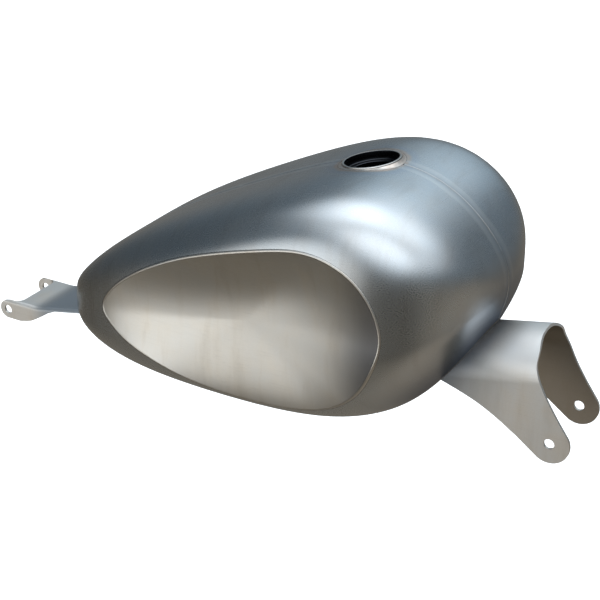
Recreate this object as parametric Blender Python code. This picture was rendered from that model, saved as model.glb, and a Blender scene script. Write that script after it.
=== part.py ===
"""Welded steel motorcycle fuel tank with dished sides, a straddling tunnel and two forked mounts.

Frame: the origin is on the front bolt axis, midway between the two front ears.
+X points to the front of the motorcycle, +Y to its left side, +Z up.
All driving dimensions are in millimetres; the finished meshes are in metres.
"""
import math

import bmesh
import bpy
import numpy as np

# ---------------------------------------------------------------- driving dimensions (mm)
# overall body
TANK_LENGTH = 508.0          # tail tip to nose tip
NOSE_X = -69.0               # nose tip behind the front bolt axis
NOSE_Z = 137.0               # nose tip height
TAIL_Z = 28.0                # tail tip height
# The outlines are sine series along the length: first term the size, the rest the shape.
CROWN_RISE = 119.0           # crown above the nose-to-tail axis
CROWN_SHAPE = (-23.0, -4.5, 3.0, -4.0)
KEEL_DROP = 139.5            # keel below the nose-to-tail axis
KEEL_SHAPE = (-20.5, 0.0, 4.0, -4.0)
PLAN_HALF_WIDTH = 152.5      # first plan term; the widest half-width comes to 143
PLAN_SHAPE = (-15.0, 14.0, -2.5, 2.8)
WIDEST_AT = 0.44             # height of the widest line, as a share of the section height
CROWN_SQUARENESS = 4.6       # exponent of the upper part of each section
KEEL_FULLNESS = 0.62         # exponent of the lower part, before it changes along the length
KEEL_FULLNESS_CHANGE = 0.05
SHELL_SHEET = 1.6            # shells, dishes and tunnel
BRACKET_SHEET = 3.0          # both brackets
# clearances
GAP = 0.3                    # between neighbouring pieces
SEAM_BEAD = 1.8              # width of every butt weld
# tunnel: an arch that is round in front and flat-topped behind
ROOF_AT_BOLT = 107.2         # line of the tunnel ceiling, at the front bolt axis
ROOF_SLOPE = 0.1925
FRONT_BOLT_SPAN = 84.3       # between the mid-planes of the front ears
REAR_BOLT_SPAN = 70.4        # between the mid-planes of the rear ears
ARCH_FRONT_X = -155.0        # the arch is constant ahead of this
ARCH_REAR_X = -480.0         # and constant behind this
REAR_CORNER = 5.0            # inner corner of the arch behind
# front bracket
FRONT_EAR_RADIUS = 21.0
FRONT_HOLE_RADIUS = 5.5
FRONT_BRACKET_REAR = -150.0
BRACKET_WELD = 2.4
FRONT_EAR_FRONT_EDGE = ((-27.0, 125.0), (-26.0, 103.0), (-21.5, 90.0), (-20.0, 77.0), (-13.5, 61.5), (-5.5, 46.0), (5.5, 28.5))
FRONT_EAR_REAR_EDGE = ((-34.5, -0.5), (-58.0, 14.5), (-82.0, 26.5), (-117.0, 38.5), (-150.0, 47.0))
# rear bracket
REAR_BOLT_X = -685.5
REAR_BOLT_Z = -29.7
REAR_EAR_RADIUS = 11.5
REAR_HOLE_RADIUS = 5.25
REAR_PLATE_FRONT = -490.0
REAR_PLATE_END = -668.0
REAR_NOTCH_CORNER = 9.0
REAR_EAR_TOP = -17.0         # the plate levels out at this height between the ears
REAR_LEVEL_FROM = -628.0
REAR_EAR_LOWER_EDGE = ((-668.0, -41.2), (-652.0, -37.0), (-637.0, -28.5), (-624.0, -20.0))
# dished side panels, outline seen from the side
DISH_OUTLINE = ((-483.0, 56.0), (-464.0, 85.0), (-421.0, 118.0), (-362.0, 149.0), (-288.0, 175.0), (-224.0, 188.5),
                (-180.0, 178.0), (-152.5, 150.0), (-142.5, 110.0), (-157.0, 66.0), (-184.0, 30.0), (-223.0, 5.0),
                (-280.0, -4.0), (-357.0, 3.0), (-418.0, 21.0), (-464.0, 38.0))
DISH_DEPTH = 28.0            # in the middle, below the line from rim to rim
DISH_HALF_LENGTH = 170.0
DISH_HALF_HEIGHT = 96.0
DISH_FRONT_BIAS = 0.40       # how much deeper towards the front
DISH_TOP_BIAS = 0.35         # and towards the top
DISH_BEAD = 2.4
# filler
FILLER_X = -221.0
FILLER_TILT = 9.85           # degrees, leaning back
FILLER_BORE = 27.6
FILLER_OUTER = 30.0
FILLER_LIP = 1.0             # above the crown
FILLER_STEP_DEPTH = 8.0
FILLER_THROAT = 21.5
FILLER_DEPTH = 13.0
FILLER_BEAD = 3.7
# petcock bung, low at the back on the left
BUNG_X = -432.0
BUNG_Y = 72.0
BUNG_OUTER = 14.0
BUNG_BORE = 8.6
BUNG_OUTSIDE = 5.0
BUNG_INSIDE = 8.0
BUNG_BEAD = 2.4
# mesh density
STATIONS = 25
HALF_RING = 20
ARC_STEPS = 7
ROUND_STEPS = 36
DISH_STEPS = 40

TO_METRES = 0.001


# ---------------------------------------------------------------- body surface
def station(phi):
    """Length, crown height, keel height and half-width at a station, phi from 0 at the tail to pi at the nose."""
    x = NOSE_X - TANK_LENGTH * (1.0 + math.cos(phi)) / 2.0
    axis = TAIL_Z + (NOSE_Z - TAIL_Z) * (1.0 - math.cos(phi)) / 2.0
    waves = [math.sin((k + 1) * phi) for k in range(5)]
    crown = axis + sum(a * w for a, w in zip((CROWN_RISE,) + CROWN_SHAPE, waves))
    keel = axis - sum(a * w for a, w in zip((KEEL_DROP,) + KEEL_SHAPE, waves))
    half = sum(a * w for a, w in zip((PLAN_HALF_WIDTH,) + PLAN_SHAPE, waves))
    return x, crown, keel, half


def phi_at(x):
    """Station angle at a given length."""
    c = 2.0 * (NOSE_X - x) / TANK_LENGTH - 1.0
    return math.acos(max(-1.0, min(1.0, c)))


def lower_power(phi):
    return KEEL_FULLNESS - KEEL_FULLNESS_CHANGE * math.cos(phi)


def half_section(phi, count):
    """Points (y, z) of one half of a section from crown to keel, evenly spaced along the outline."""
    x, crown, keel, half = station(phi)
    middle = keel + WIDEST_AT * (crown - keel)
    points = []
    for i in range(61):
        a = math.radians(90.0 - 90.0 * i / 60.0)
        c, s = abs(math.cos(a)), abs(math.sin(a))
        rho = (c ** CROWN_SQUARENESS + s ** CROWN_SQUARENESS) ** (-1.0 / CROWN_SQUARENESS)
        points.append((half * rho * c, middle + (crown - middle) * rho * s))
    for i in range(1, 61):
        a = math.radians(90.0 * i / 60.0)
        y = half * max(0.0, math.cos(a)) ** (2.0 * lower_power(phi))
        points.append((y, middle - (middle - keel) * math.sin(a)))
    points[0] = (0.0, crown)
    points[-1] = (0.0, keel)
    points = np.array(points)
    run = np.concatenate([[0.0], np.cumsum(np.hypot(*np.diff(points, axis=0).T))])
    where = np.linspace(0.0, run[-1], count + 1)
    return np.stack([np.interp(where, run, points[:, 0]), np.interp(where, run, points[:, 1])], -1)


def side_y(x, z):
    """Half-width of the body at a given length and height."""
    phi = phi_at(x)
    _, crown, keel, half = station(phi)
    middle = keel + WIDEST_AT * (crown - keel)
    if z >= middle:
        share = min(1.0, (z - middle) / (crown - middle))
        return half * (1.0 - share ** CROWN_SQUARENESS) ** (1.0 / CROWN_SQUARENESS)
    share = min(1.0, (middle - z) / (middle - keel))
    return half * (1.0 - share ** 2) ** lower_power(phi)


def crown_z(x, y):
    """Height of the upper surface."""
    phi = phi_at(x)
    _, crown, keel, half = station(phi)
    middle = keel + WIDEST_AT * (crown - keel)
    share = min(1.0, abs(y) / half)
    return middle + (crown - middle) * (1.0 - share ** CROWN_SQUARENESS) ** (1.0 / CROWN_SQUARENESS)


def floor_z(x, y):
    """Height of the lower surface."""
    phi = phi_at(x)
    _, crown, keel, half = station(phi)
    middle = keel + WIDEST_AT * (crown - keel)
    share = min(1.0, abs(y) / half) ** (1.0 / lower_power(phi))
    return middle - (middle - keel) * math.sqrt(max(0.0, 1.0 - share))


# ---------------------------------------------------------------- mesh helpers
def mesh_object(name, verts, faces):
    mesh = bpy.data.meshes.new(name)
    mesh.from_pydata([tuple(float(c) for c in v) for v in verts], [], faces)
    mesh.validate()
    obj = bpy.data.objects.new(name, mesh)
    bpy.context.scene.collection.objects.link(obj)
    face_out(obj)
    return obj


def face_out(obj):
    bm = bmesh.new()
    bm.from_mesh(obj.data)
    bmesh.ops.recalc_face_normals(bm, faces=bm.faces[:])
    if bm.calc_volume(signed=True) < 0.0:
        bmesh.ops.reverse_faces(bm, faces=bm.faces[:])
    bm.to_mesh(obj.data)
    bm.free()


def loft(name, rings):
    """Closed solid through rings of the same point count."""
    n = len(rings[0])
    verts = [p for ring in rings for p in ring]
    faces = []
    for i in range(len(rings) - 1):
        a, b = i * n, (i + 1) * n
        for j in range(n):
            k = (j + 1) % n
            faces.append((a + j, a + k, b + k, b + j))
    faces.append(tuple(range(n)))
    faces.append(tuple(range((len(rings) - 1) * n, len(rings) * n)))
    return mesh_object(name, verts, faces)


def closed_sweep(name, rings):
    """Ring-shaped solid: the last cross-section joins the first."""
    n, count = len(rings[0]), len(rings)
    verts = [p for ring in rings for p in ring]
    faces = []
    for i in range(count):
        a, b = i * n, ((i + 1) % count) * n
        for j in range(n):
            k = (j + 1) % n
            faces.append((a + j, a + k, b + k, b + j))
    return mesh_object(name, verts, faces)


def boolean(obj, cutter, operation):
    """Apply one exact boolean and drop the cutter."""
    cutter.hide_render = True
    cutter.display_type = 'WIRE'
    mod = obj.modifiers.new("cut", 'BOOLEAN')
    mod.operation = operation
    mod.solver = 'EXACT'
    mod.object = cutter
    bpy.context.view_layer.update()
    result = bpy.data.meshes.new_from_object(obj.evaluated_get(bpy.context.evaluated_depsgraph_get()))
    obj.modifiers.clear()
    obj.data = result
    bpy.data.objects.remove(cutter)
    return obj


def clone(obj, name):
    copy = bpy.data.objects.new(name, obj.data.copy())
    bpy.context.scene.collection.objects.link(copy)
    return copy


def box(name, low, high):
    x0, y0, z0 = low
    x1, y1, z1 = high
    rings = [[(x, y0, z0), (x, y1, z0), (x, y1, z1), (x, y0, z1)] for x in (x0, x1)]
    return loft(name, rings)


def prism_y(name, outline, y0, y1):
    """Solid with an outline (x, z), running along Y."""
    return loft(name, [[(x, y, z) for x, z in outline] for y in (y0, y1)])


def rod(name, centre, axis, radius, start, end, steps=ROUND_STEPS):
    """Plain round solid along an axis."""
    side, other = frame_of(axis)
    rings = []
    for h in (start, end):
        rings.append([centre + axis * h + side * (radius * math.cos(2 * math.pi * i / steps))
                      + other * (radius * math.sin(2 * math.pi * i / steps)) for i in range(steps)])
    return loft(name, rings)


def frame_of(axis):
    helper = np.array([1.0, 0.0, 0.0]) if abs(axis[0]) < 0.9 else np.array([0.0, 1.0, 0.0])
    side = helper - axis * float(helper @ axis)
    side = side / np.linalg.norm(side)
    return side, np.cross(axis, side)


def turned(name, centre, axis, profile, steps=ROUND_STEPS):
    """Ring turned from a closed profile of (radius, height) points."""
    side, other = frame_of(axis)
    rings = []
    for i in range(steps):
        a = 2 * math.pi * i / steps
        out = side * math.cos(a) + other * math.sin(a)
        rings.append([centre + out * r + axis * h for r, h in profile])
    return closed_sweep(name, rings)


def smooth_closed(points, count):
    """Even points on a smooth closed curve through hand-set points."""
    pts = np.array(points, float)
    n = len(pts)
    fine = []
    for i in range(n):
        p0, p1, p2, p3 = pts[i - 1], pts[i], pts[(i + 1) % n], pts[(i + 2) % n]
        for k in range(16):
            fine.append(spline_point(p0, p1, p2, p3, k / 16.0))
    fine = np.array(fine)
    loop = np.vstack([fine, fine[:1]])
    run = np.concatenate([[0.0], np.cumsum(np.hypot(*np.diff(loop, axis=0).T))])
    where = np.linspace(0.0, run[-1], count, endpoint=False)
    return np.stack([np.interp(where, run, loop[:, 0]), np.interp(where, run, loop[:, 1])], -1)


def smooth_open(points, per_span):
    pts = [np.array(p, float) for p in points]
    pts = [2 * pts[0] - pts[1]] + pts + [2 * pts[-1] - pts[-2]]
    out = []
    for i in range(1, len(pts) - 2):
        for k in range(per_span):
            out.append(spline_point(pts[i - 1], pts[i], pts[i + 1], pts[i + 2], k / per_span))
    out.append(pts[-2])
    return out


def spline_point(p0, p1, p2, p3, t):
    return 0.5 * (2 * p1 + (p2 - p0) * t + (2 * p0 - 5 * p1 + 4 * p2 - p3) * t * t
                  + (3 * p1 - p0 - 3 * p2 + p3) * t * t * t)


def grown(outline, distance):
    """Closed outline moved outwards by a distance."""
    step = np.roll(outline, -1, 0) - np.roll(outline, 1, 0)
    normal = np.stack([step[:, 1], -step[:, 0]], -1)
    normal /= np.linalg.norm(normal, axis=1)[:, None]
    area = float(np.sum(outline[:, 0] * np.roll(outline[:, 1], -1) - np.roll(outline[:, 0], -1) * outline[:, 1]))
    return outline + normal * (distance if area > 0 else -distance)


# ---------------------------------------------------------------- body solids
def body_solid(name, inset):
    """The whole body as one solid; inset moves its surface inwards along the normals."""
    phis = [math.pi * i / STATIONS for i in range(1, STATIONS)]
    verts = []
    for phi in phis:
        x = station(phi)[0]
        half = half_section(phi, HALF_RING)
        ring = [(x, y, z) for y, z in half] + [(x, -y, z) for y, z in half[-2:0:-1]]
        verts += ring
    n = 2 * HALF_RING
    tail = len(verts)
    verts.append((station(0.0)[0], 0.0, TAIL_Z))
    nose = len(verts)
    verts.append((station(math.pi)[0], 0.0, NOSE_Z))
    faces = []
    for i in range(len(phis) - 1):
        for j in range(n):
            k = (j + 1) % n
            faces.append((i * n + j, i * n + k, (i + 1) * n + k, (i + 1) * n + j))
    last = (len(phis) - 1) * n
    for j in range(n):
        k = (j + 1) % n
        faces.append((tail, k, j))
        faces.append((nose, last + j, last + k))
    obj = mesh_object(name, verts, faces)
    if inset:
        bm = bmesh.new()
        bm.from_mesh(obj.data)
        bm.normal_update()
        moves = [v.normal.copy() for v in bm.verts]
        for v, move in zip(bm.verts, moves):
            v.co -= move * inset
        bm.to_mesh(obj.data)
        bm.free()
    return obj


def arch_points(x, grow, floor):
    """Half-turn outline of the arch at a length, from the right foot over the roof to the left foot."""
    share = max(0.0, min(1.0, (x - ARCH_REAR_X) / (ARCH_FRONT_X - ARCH_REAR_X)))
    share = share * share * (3.0 - 2.0 * share)
    wide_front = (FRONT_BOLT_SPAN + BRACKET_SHEET) / 2.0 + GAP
    wide_rear = (REAR_BOLT_SPAN + BRACKET_SHEET) / 2.0 + GAP
    wide = wide_rear + (wide_front - wide_rear) * share
    corner = REAR_CORNER + (wide_front - 1.0 - REAR_CORNER) * share
    return arch_outline(wide + grow, corner + grow, roof_line(x) + grow, floor)


def arch_outline(wide, corner, roof, floor):
    points = [(-wide, floor)]
    for i in range(ARC_STEPS + 1):
        a = math.radians(180.0 - 90.0 * i / ARC_STEPS)
        points.append((-wide + corner + corner * math.cos(a), roof - corner + corner * math.sin(a)))
    for i in range(ARC_STEPS + 1):
        a = math.radians(90.0 - 90.0 * i / ARC_STEPS)
        points.append((wide - corner + corner * math.cos(a), roof - corner + corner * math.sin(a)))
    points.append((wide, floor))
    return points


def roof_line(x):
    return ROOF_AT_BOLT + ROOF_SLOPE * x


def arch_stations(x0, x1, count):
    return [x0 + (x1 - x0) * i / count for i in range(count + 1)]


def arch_solid(name, grow, x0=-640.0, x1=-20.0):
    rings = [[(x, y, z) for y, z in arch_points(x, grow, -150.0)] for x in arch_stations(x0, x1, 16)]
    return loft(name, rings)


def arch_sheet(name, outer, inner, x0=-640.0, x1=-20.0, count=16):
    rings = []
    for x in arch_stations(x0, x1, count):
        ring = arch_points(x, outer, -150.0) + arch_points(x, inner, -150.0)[::-1]
        rings.append([(x, y, z) for y, z in ring])
    return loft(name, rings)


# ---------------------------------------------------------------- pieces
def keep_half(obj, side, clear):
    """Keep the part on one side of the centre plane; side is +1 for left and -1 for right."""
    low = (-900.0, clear, -400.0) if side > 0 else (-900.0, -400.0, -400.0)
    high = (200.0, 400.0, 500.0) if side > 0 else (200.0, -clear, 500.0)
    return boolean(obj, box("half", low, high), 'INTERSECT')


def dish_prism(name, side, grow):
    outline = grown(smooth_closed(DISH_OUTLINE, DISH_STEPS), grow)
    y0, y1 = (56.0, 260.0) if side > 0 else (-260.0, -56.0)
    return prism_y(name, outline, y0, y1)


def filler_frame():
    tilt = math.radians(FILLER_TILT)
    axis = np.array([-math.sin(tilt), 0.0, math.cos(tilt)])
    centre = np.array([FILLER_X, 0.0, crown_z(FILLER_X, 0.0)])
    return centre, axis


def bung_frame():
    z = floor_z(BUNG_X, BUNG_Y)
    slope_x = (floor_z(BUNG_X + 2.0, BUNG_Y) - floor_z(BUNG_X - 2.0, BUNG_Y)) / 4.0
    slope_y = (floor_z(BUNG_X, BUNG_Y + 2.0) - floor_z(BUNG_X, BUNG_Y - 2.0)) / 4.0
    axis = np.array([slope_x, slope_y, -1.0])
    return np.array([BUNG_X, BUNG_Y, z]), axis / np.linalg.norm(axis)


def make_skin(outer, inner):
    """The full skin, tunnel slot still uncut."""
    skin = clone(outer, "skin")
    return boolean(skin, clone(inner, "hollow"), 'DIFFERENCE')


def make_shell(skin, side):
    name = "left_shell" if side > 0 else "right_shell"
    shell = clone(skin, name)
    keep_half(shell, side, SEAM_BEAD / 2.0 + GAP)
    boolean(shell, arch_solid("slot", SHELL_SHEET + SEAM_BEAD + 2 * GAP), 'DIFFERENCE')
    boolean(shell, dish_prism("window", side, DISH_BEAD / 2.0 + GAP), 'DIFFERENCE')
    centre, axis = filler_frame()
    hole = FILLER_OUTER + FILLER_BEAD + 2 * GAP
    boolean(shell, rod("filler_hole", centre, axis, hole, -30.0, 30.0), 'DIFFERENCE')
    if side > 0:
        centre, axis = bung_frame()
        hole = BUNG_OUTER + BUNG_BEAD + 2 * GAP
        boolean(shell, rod("bung_hole", centre, axis, hole, -20.0, 20.0, 32), 'DIFFERENCE')
    return shell


def make_bottom_weld(skin, side):
    name = "left_bottom_weld" if side > 0 else "right_bottom_weld"
    bead = clone(skin, name)
    low = SHELL_SHEET + GAP
    boolean(bead, arch_sheet("band", low + SEAM_BEAD, low), 'INTERSECT')
    return keep_half(bead, side, GAP / 2.0)


def make_dish_weld(skin, side):
    name = "left_dish_weld" if side > 0 else "right_dish_weld"
    bead = clone(skin, name)
    boolean(bead, dish_prism("bead_outside", side, DISH_BEAD / 2.0), 'INTERSECT')
    boolean(bead, dish_prism("bead_inside", side, -DISH_BEAD / 2.0), 'DIFFERENCE')
    return bead


def dish_terms(x, z, middle):
    """Powers of the position in the dish up to the fourth, one column each."""
    along, up = (x - middle[0]) / DISH_HALF_LENGTH, (z - middle[1]) / DISH_HALF_HEIGHT
    orders = [(i, j) for i in range(5) for j in range(5 - i)]
    terms = np.stack([along ** i * up ** j for i, j in orders], -1)
    stiffness = np.array([0.0 if i + j < 2 else 0.3 if i + j == 2 else 3.0 for i, j in orders])
    return terms, stiffness


def make_dish(side):
    """Pressed panel: flush at its rim, hollowed towards the middle and most of all up at the front."""
    name = "left_dish" if side > 0 else "right_dish"
    count, ring_count = DISH_STEPS, 6
    rim = grown(smooth_closed(DISH_OUTLINE, count), -(DISH_BEAD / 2.0 + GAP))
    rim_y = np.array([side_y(x, z) for x, z in rim])
    middle = rim.mean(0)
    terms, stiffness = dish_terms(rim[:, 0], rim[:, 1], middle)
    weights = np.linalg.solve(terms.T @ terms + np.diag(stiffness) * count / 240.0, terms.T @ rim_y)
    left_over = rim_y - terms @ weights
    verts, faces = [], []
    for depth in (0.0, SHELL_SHEET):
        for r in range(ring_count, -1, -1):
            share = (r / ring_count) ** 0.8
            ring = middle + (rim - middle) * share
            terms, _ = dish_terms(ring[:, 0], ring[:, 1], middle)
            lean = 1.0 + DISH_FRONT_BIAS * (ring[:, 0] - middle[0]) / DISH_HALF_LENGTH
            lean += DISH_TOP_BIAS * (ring[:, 1] - middle[1]) / DISH_HALF_HEIGHT
            y = terms @ weights + left_over * share ** 8 - DISH_DEPTH * (1.0 - share ** 2) * lean - depth
            verts += [(x, side * v, z) for (x, z), v in zip(ring[:count if r else 1], y)]
    layer = ring_count * count + 1
    for start in (0, layer):
        for r in range(ring_count - 1):
            for j in range(count):
                k = (j + 1) % count
                a, b = start + r * count, start + (r + 1) * count
                faces.append((a + j, a + k, b + k, b + j))
        inner, tip = start + (ring_count - 1) * count, start + layer - 1
        for j in range(count):
            faces.append((inner + j, inner + (j + 1) % count, tip))
    for j in range(count):
        k = (j + 1) % count
        faces.append((j, k, layer + k, layer + j))
    return mesh_object(name, verts, faces)


def make_tunnel(outer):
    tunnel = arch_sheet("tunnel", SHELL_SHEET, 0.0)
    return boolean(tunnel, clone(outer, "trim"), 'INTERSECT')


def filler_edge(front):
    """Station angle where the top seam leaves the bead of the filler."""
    centre, axis = filler_frame()
    clear = FILLER_OUTER + FILLER_BEAD + 3 * GAP
    phi = phi_at(FILLER_X)
    away = 0.0
    while away < clear:
        phi += 0.0005 if front else -0.0005
        x, crown, _, _ = station(phi)
        offset = np.array([x, 0.0, crown]) - centre
        away = np.linalg.norm(offset - axis * float(offset @ axis))
    return phi


def crown_path(front):
    """Centre-plane points of the top seam, ahead of or behind the filler."""
    stop = SHELL_SHEET + SEAM_BEAD + 4 * GAP
    start = filler_edge(front)
    tip = math.pi if front else 0.0
    top_steps, low_steps = (15, 6) if front else (20, 4)
    points = []
    for i in range(top_steps):
        x, crown, _, _ = station(start + (tip - start) * i / top_steps)
        points.append((x, crown))
    end = tip
    while station(end)[2] > roof_line(station(end)[0]) + stop:
        end += -0.002 if front else 0.002
    for i in range(low_steps + 1):
        x, _, keel, _ = station(tip + (end - tip) * i / low_steps)
        points.append((x, keel))
    return np.array(points)


def make_crown_weld(front):
    name = "crown_weld_front" if front else "crown_weld_rear"
    path = crown_path(front)
    step = np.gradient(path, axis=0)
    normal = np.stack([-step[:, 1], step[:, 0]], -1)
    if not front:
        normal = -normal
    normal /= np.linalg.norm(normal, axis=1)[:, None]
    half = SEAM_BEAD / 2.0
    rings = []
    for p, n in zip(path, normal):
        top, low = p - n * 0.15, p - n * SHELL_SHEET
        rings.append([(top[0], -half, top[1]), (top[0], half, top[1]), (low[0], half, low[1]), (low[0], -half, low[1])])
    return loft(name, rings)


def front_bracket_outline():
    front = smooth_open(FRONT_EAR_FRONT_EDGE, 4)
    points = [tuple(p) for p in front]
    for i in range(15):
        a = math.radians(30.0 - 150.0 * i / 14.0)
        points.append((FRONT_EAR_RADIUS * math.cos(a), FRONT_EAR_RADIUS * math.sin(a)))
    points += [tuple(p) for p in smooth_open(FRONT_EAR_REAR_EDGE, 3)]
    points.append((FRONT_BRACKET_REAR, 125.0))
    return points


def make_front_bracket():
    """Saddle bent over the backbone, with one holed ear on each side."""
    bracket = arch_sheet("front_bracket", -GAP, -GAP - BRACKET_SHEET, -154.0, 30.0, 4)
    boolean(bracket, prism_y("bracket_outline", front_bracket_outline(), -90.0, 90.0), 'INTERSECT')
    along = np.array([0.0, 1.0, 0.0])
    return boolean(bracket, rod("bolt_hole", np.zeros(3), along, FRONT_HOLE_RADIUS, -90.0, 90.0, 28), 'DIFFERENCE')


def rear_plate_top(x):
    """Top of the rear plate: it follows the tunnel ceiling, then levels out between the ears."""
    line = roof_line(x) - GAP
    share = max(0.0, min(1.0, (REAR_LEVEL_FROM - x) / 26.0))
    share = share * share * (3.0 - 2.0 * share)
    return line + (REAR_EAR_TOP - line) * share


def rear_bracket_outline():
    centre = (REAR_BOLT_X, REAR_BOLT_Z)
    points = [(REAR_PLATE_FRONT, 60.0), (-640.0, 60.0), (-668.0, REAR_EAR_TOP + 4.0)]
    for i in range(13):
        a = math.radians(95.0 + 165.0 * i / 12.0)
        points.append((centre[0] + REAR_EAR_RADIUS * math.cos(a), centre[1] + REAR_EAR_RADIUS * math.sin(a)))
    points += [tuple(p) for p in smooth_open(REAR_EAR_LOWER_EDGE, 3)]
    lip = BRACKET_SHEET + 1.0
    for x in (-614.0, -600.0, -560.0, -520.0):
        points.append((x, rear_plate_top(x) - lip))
    points.append((REAR_PLATE_FRONT, rear_plate_top(REAR_PLATE_FRONT) - lip))
    return points


def make_rear_bracket():
    """Flat plate welded under the tail, its sides folded down into two holed ears."""
    wide = (REAR_BOLT_SPAN + BRACKET_SHEET) / 2.0
    corner = REAR_CORNER - GAP
    rings = []
    for x in [REAR_PLATE_FRONT + 4.0] + arch_stations(-520.0, -706.0, 20):
        top = rear_plate_top(x)
        ring = arch_outline(wide, corner, top, -80.0)
        ring += arch_outline(wide - BRACKET_SHEET, corner - BRACKET_SHEET, top - BRACKET_SHEET, -80.0)[::-1]
        rings.append([(x, y, z) for y, z in ring])
    bracket = loft("rear_bracket", rings)
    boolean(bracket, prism_y("ear_outline", rear_bracket_outline(), -90.0, 90.0), 'INTERSECT')
    notch_half = wide - BRACKET_SHEET
    notch = [(-760.0, -notch_half), (-760.0, notch_half)]
    r = REAR_NOTCH_CORNER
    for i in range(7):
        a = math.radians(90.0 - 90.0 * i / 6.0)
        notch.append((REAR_PLATE_END - r + r * math.cos(a), notch_half - r + r * math.sin(a)))
    for i in range(7):
        a = math.radians(-90.0 * i / 6.0)
        notch.append((REAR_PLATE_END - r + r * math.cos(a), -notch_half + r + r * math.sin(a)))
    boolean(bracket, loft("notch", [[(x, y, z) for x, y in notch] for z in (-78.0, 20.0)]), 'DIFFERENCE')
    along = np.array([0.0, 1.0, 0.0])
    centre = np.array([REAR_BOLT_X, 0.0, REAR_BOLT_Z])
    return boolean(bracket, rod("rear_hole", centre, along, REAR_HOLE_RADIUS, -90.0, 90.0, 28), 'DIFFERENCE')


def make_front_bracket_weld(side):
    """Fillet behind the saddle, following the tunnel ceiling on one side."""
    name = "front_bracket_weld_left" if side > 0 else "front_bracket_weld_right"
    rear = FRONT_BRACKET_REAR - GAP
    bead = arch_sheet(name, -GAP, -GAP - BRACKET_WELD, rear - BRACKET_WELD, rear, 1)
    low = (rear - 9.0, 8.0 * side, FRONT_EAR_REAR_EDGE[-1][1] + 1.0)
    high = (rear + 9.0, 70.0 * side, 150.0)
    keep = box("fillet_span", (low[0], min(low[1], high[1]), low[2]), (high[0], max(low[1], high[1]), high[2]))
    return boolean(bead, keep, 'INTERSECT')


def make_rear_bracket_weld(side):
    """Fillet under each long edge of the rear plate, against the tunnel wall."""
    name = "rear_bracket_weld_left" if side > 0 else "rear_bracket_weld_right"
    wall = (REAR_BOLT_SPAN + BRACKET_SHEET) / 2.0
    rings = []
    for i in range(9):
        x = -545.0 + 6.0 * i
        size = BRACKET_WELD if 0 < i < 8 else BRACKET_WELD * 0.6
        z = rear_plate_top(x) - BRACKET_SHEET - 1.0 - GAP
        rings.append([(x, side * wall, z), (x, side * (wall - size), z), (x, side * (wall - size * 0.65), z - size * 0.65),
                      (x, side * wall, z - size)])
    return loft(name, rings)


def make_filler_neck():
    """Turned neck with a stepped bore that seats the cap."""
    centre, axis = filler_frame()
    profile = [(FILLER_OUTER - 0.8, FILLER_LIP), (FILLER_OUTER, FILLER_LIP - 0.7), (FILLER_OUTER, -FILLER_DEPTH),
               (FILLER_THROAT, -FILLER_DEPTH), (FILLER_THROAT, -FILLER_STEP_DEPTH), (FILLER_BORE, -FILLER_STEP_DEPTH),
               (FILLER_BORE, FILLER_LIP - 0.5), (FILLER_BORE + 0.5, FILLER_LIP)]
    return turned("filler_neck", centre, axis, profile, 44)


def make_filler_weld():
    """Ground weld between the neck and the crown; its top follows both."""
    centre, axis = filler_frame()
    side, other = frame_of(axis)
    inner, outer = FILLER_OUTER + GAP, FILLER_OUTER + GAP + FILLER_BEAD
    rings = []
    for i in range(44):
        a = 2 * math.pi * i / 44
        out = side * math.cos(a) + other * math.sin(a)
        heights = []
        for radius in (inner, outer):
            h = 0.0
            for _ in range(6):
                p = centre + out * radius + axis * h
                h += (crown_z(p[0], p[1]) - p[2]) * axis[2]
            heights.append(h)
        low = min(heights) - SHELL_SHEET
        top_inner = max(heights[0], -0.5) + 0.1
        rings.append([centre + out * inner + axis * top_inner, centre + out * outer + axis * heights[1],
                      centre + out * outer + axis * low, centre + out * inner + axis * low])
    return closed_sweep("filler_weld", rings)


def make_bung():
    centre, axis = bung_frame()
    profile = [(BUNG_OUTER - 1.0, BUNG_OUTSIDE), (BUNG_OUTER, BUNG_OUTSIDE - 1.0), (BUNG_OUTER, -BUNG_INSIDE),
               (BUNG_BORE, -BUNG_INSIDE), (BUNG_BORE, BUNG_OUTSIDE - 1.2), (BUNG_BORE + 1.2, BUNG_OUTSIDE)]
    return turned("petcock_bung", centre, axis, profile, 32)


def make_bung_weld():
    centre, axis = bung_frame()
    inner = BUNG_OUTER + GAP
    outer = inner + BUNG_BEAD
    profile = [(inner, 1.6), (outer, 0.4), (outer, -SHELL_SHEET - 0.6), (inner, -SHELL_SHEET - 0.6)]
    return turned("petcock_weld", centre, axis, profile, 32)


# ---------------------------------------------------------------- finishing
def material(name, colour, metallic, roughness):
    mat = bpy.data.materials.new(name)
    mat.use_nodes = True
    shader = mat.node_tree.nodes["Principled BSDF"]
    shader.inputs["Base Color"].default_value = (*colour, 1.0)
    shader.inputs["Metallic"].default_value = metallic
    shader.inputs["Roughness"].default_value = roughness
    return mat


def finish(obj, colour, roughness):
    """Tidy, triangulate, bring to metres, shade and paint one piece."""
    bm = bmesh.new()
    bm.from_mesh(obj.data)
    bmesh.ops.remove_doubles(bm, verts=bm.verts[:], dist=0.002)
    bmesh.ops.dissolve_degenerate(bm, dist=0.002, edges=bm.edges[:])
    bmesh.ops.triangulate(bm, faces=bm.faces[:])
    bmesh.ops.recalc_face_normals(bm, faces=bm.faces[:])
    if bm.calc_volume(signed=True) < 0.0:
        bmesh.ops.reverse_faces(bm, faces=bm.faces[:])
    for v in bm.verts:
        v.co *= TO_METRES
    bm.to_mesh(obj.data)
    bm.free()
    obj.data.materials.clear()
    obj.data.materials.append(material(obj.name, colour, 1.0, roughness))
    for polygon in obj.data.polygons:
        polygon.use_smooth = True
    obj.data.name = obj.name


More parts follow.
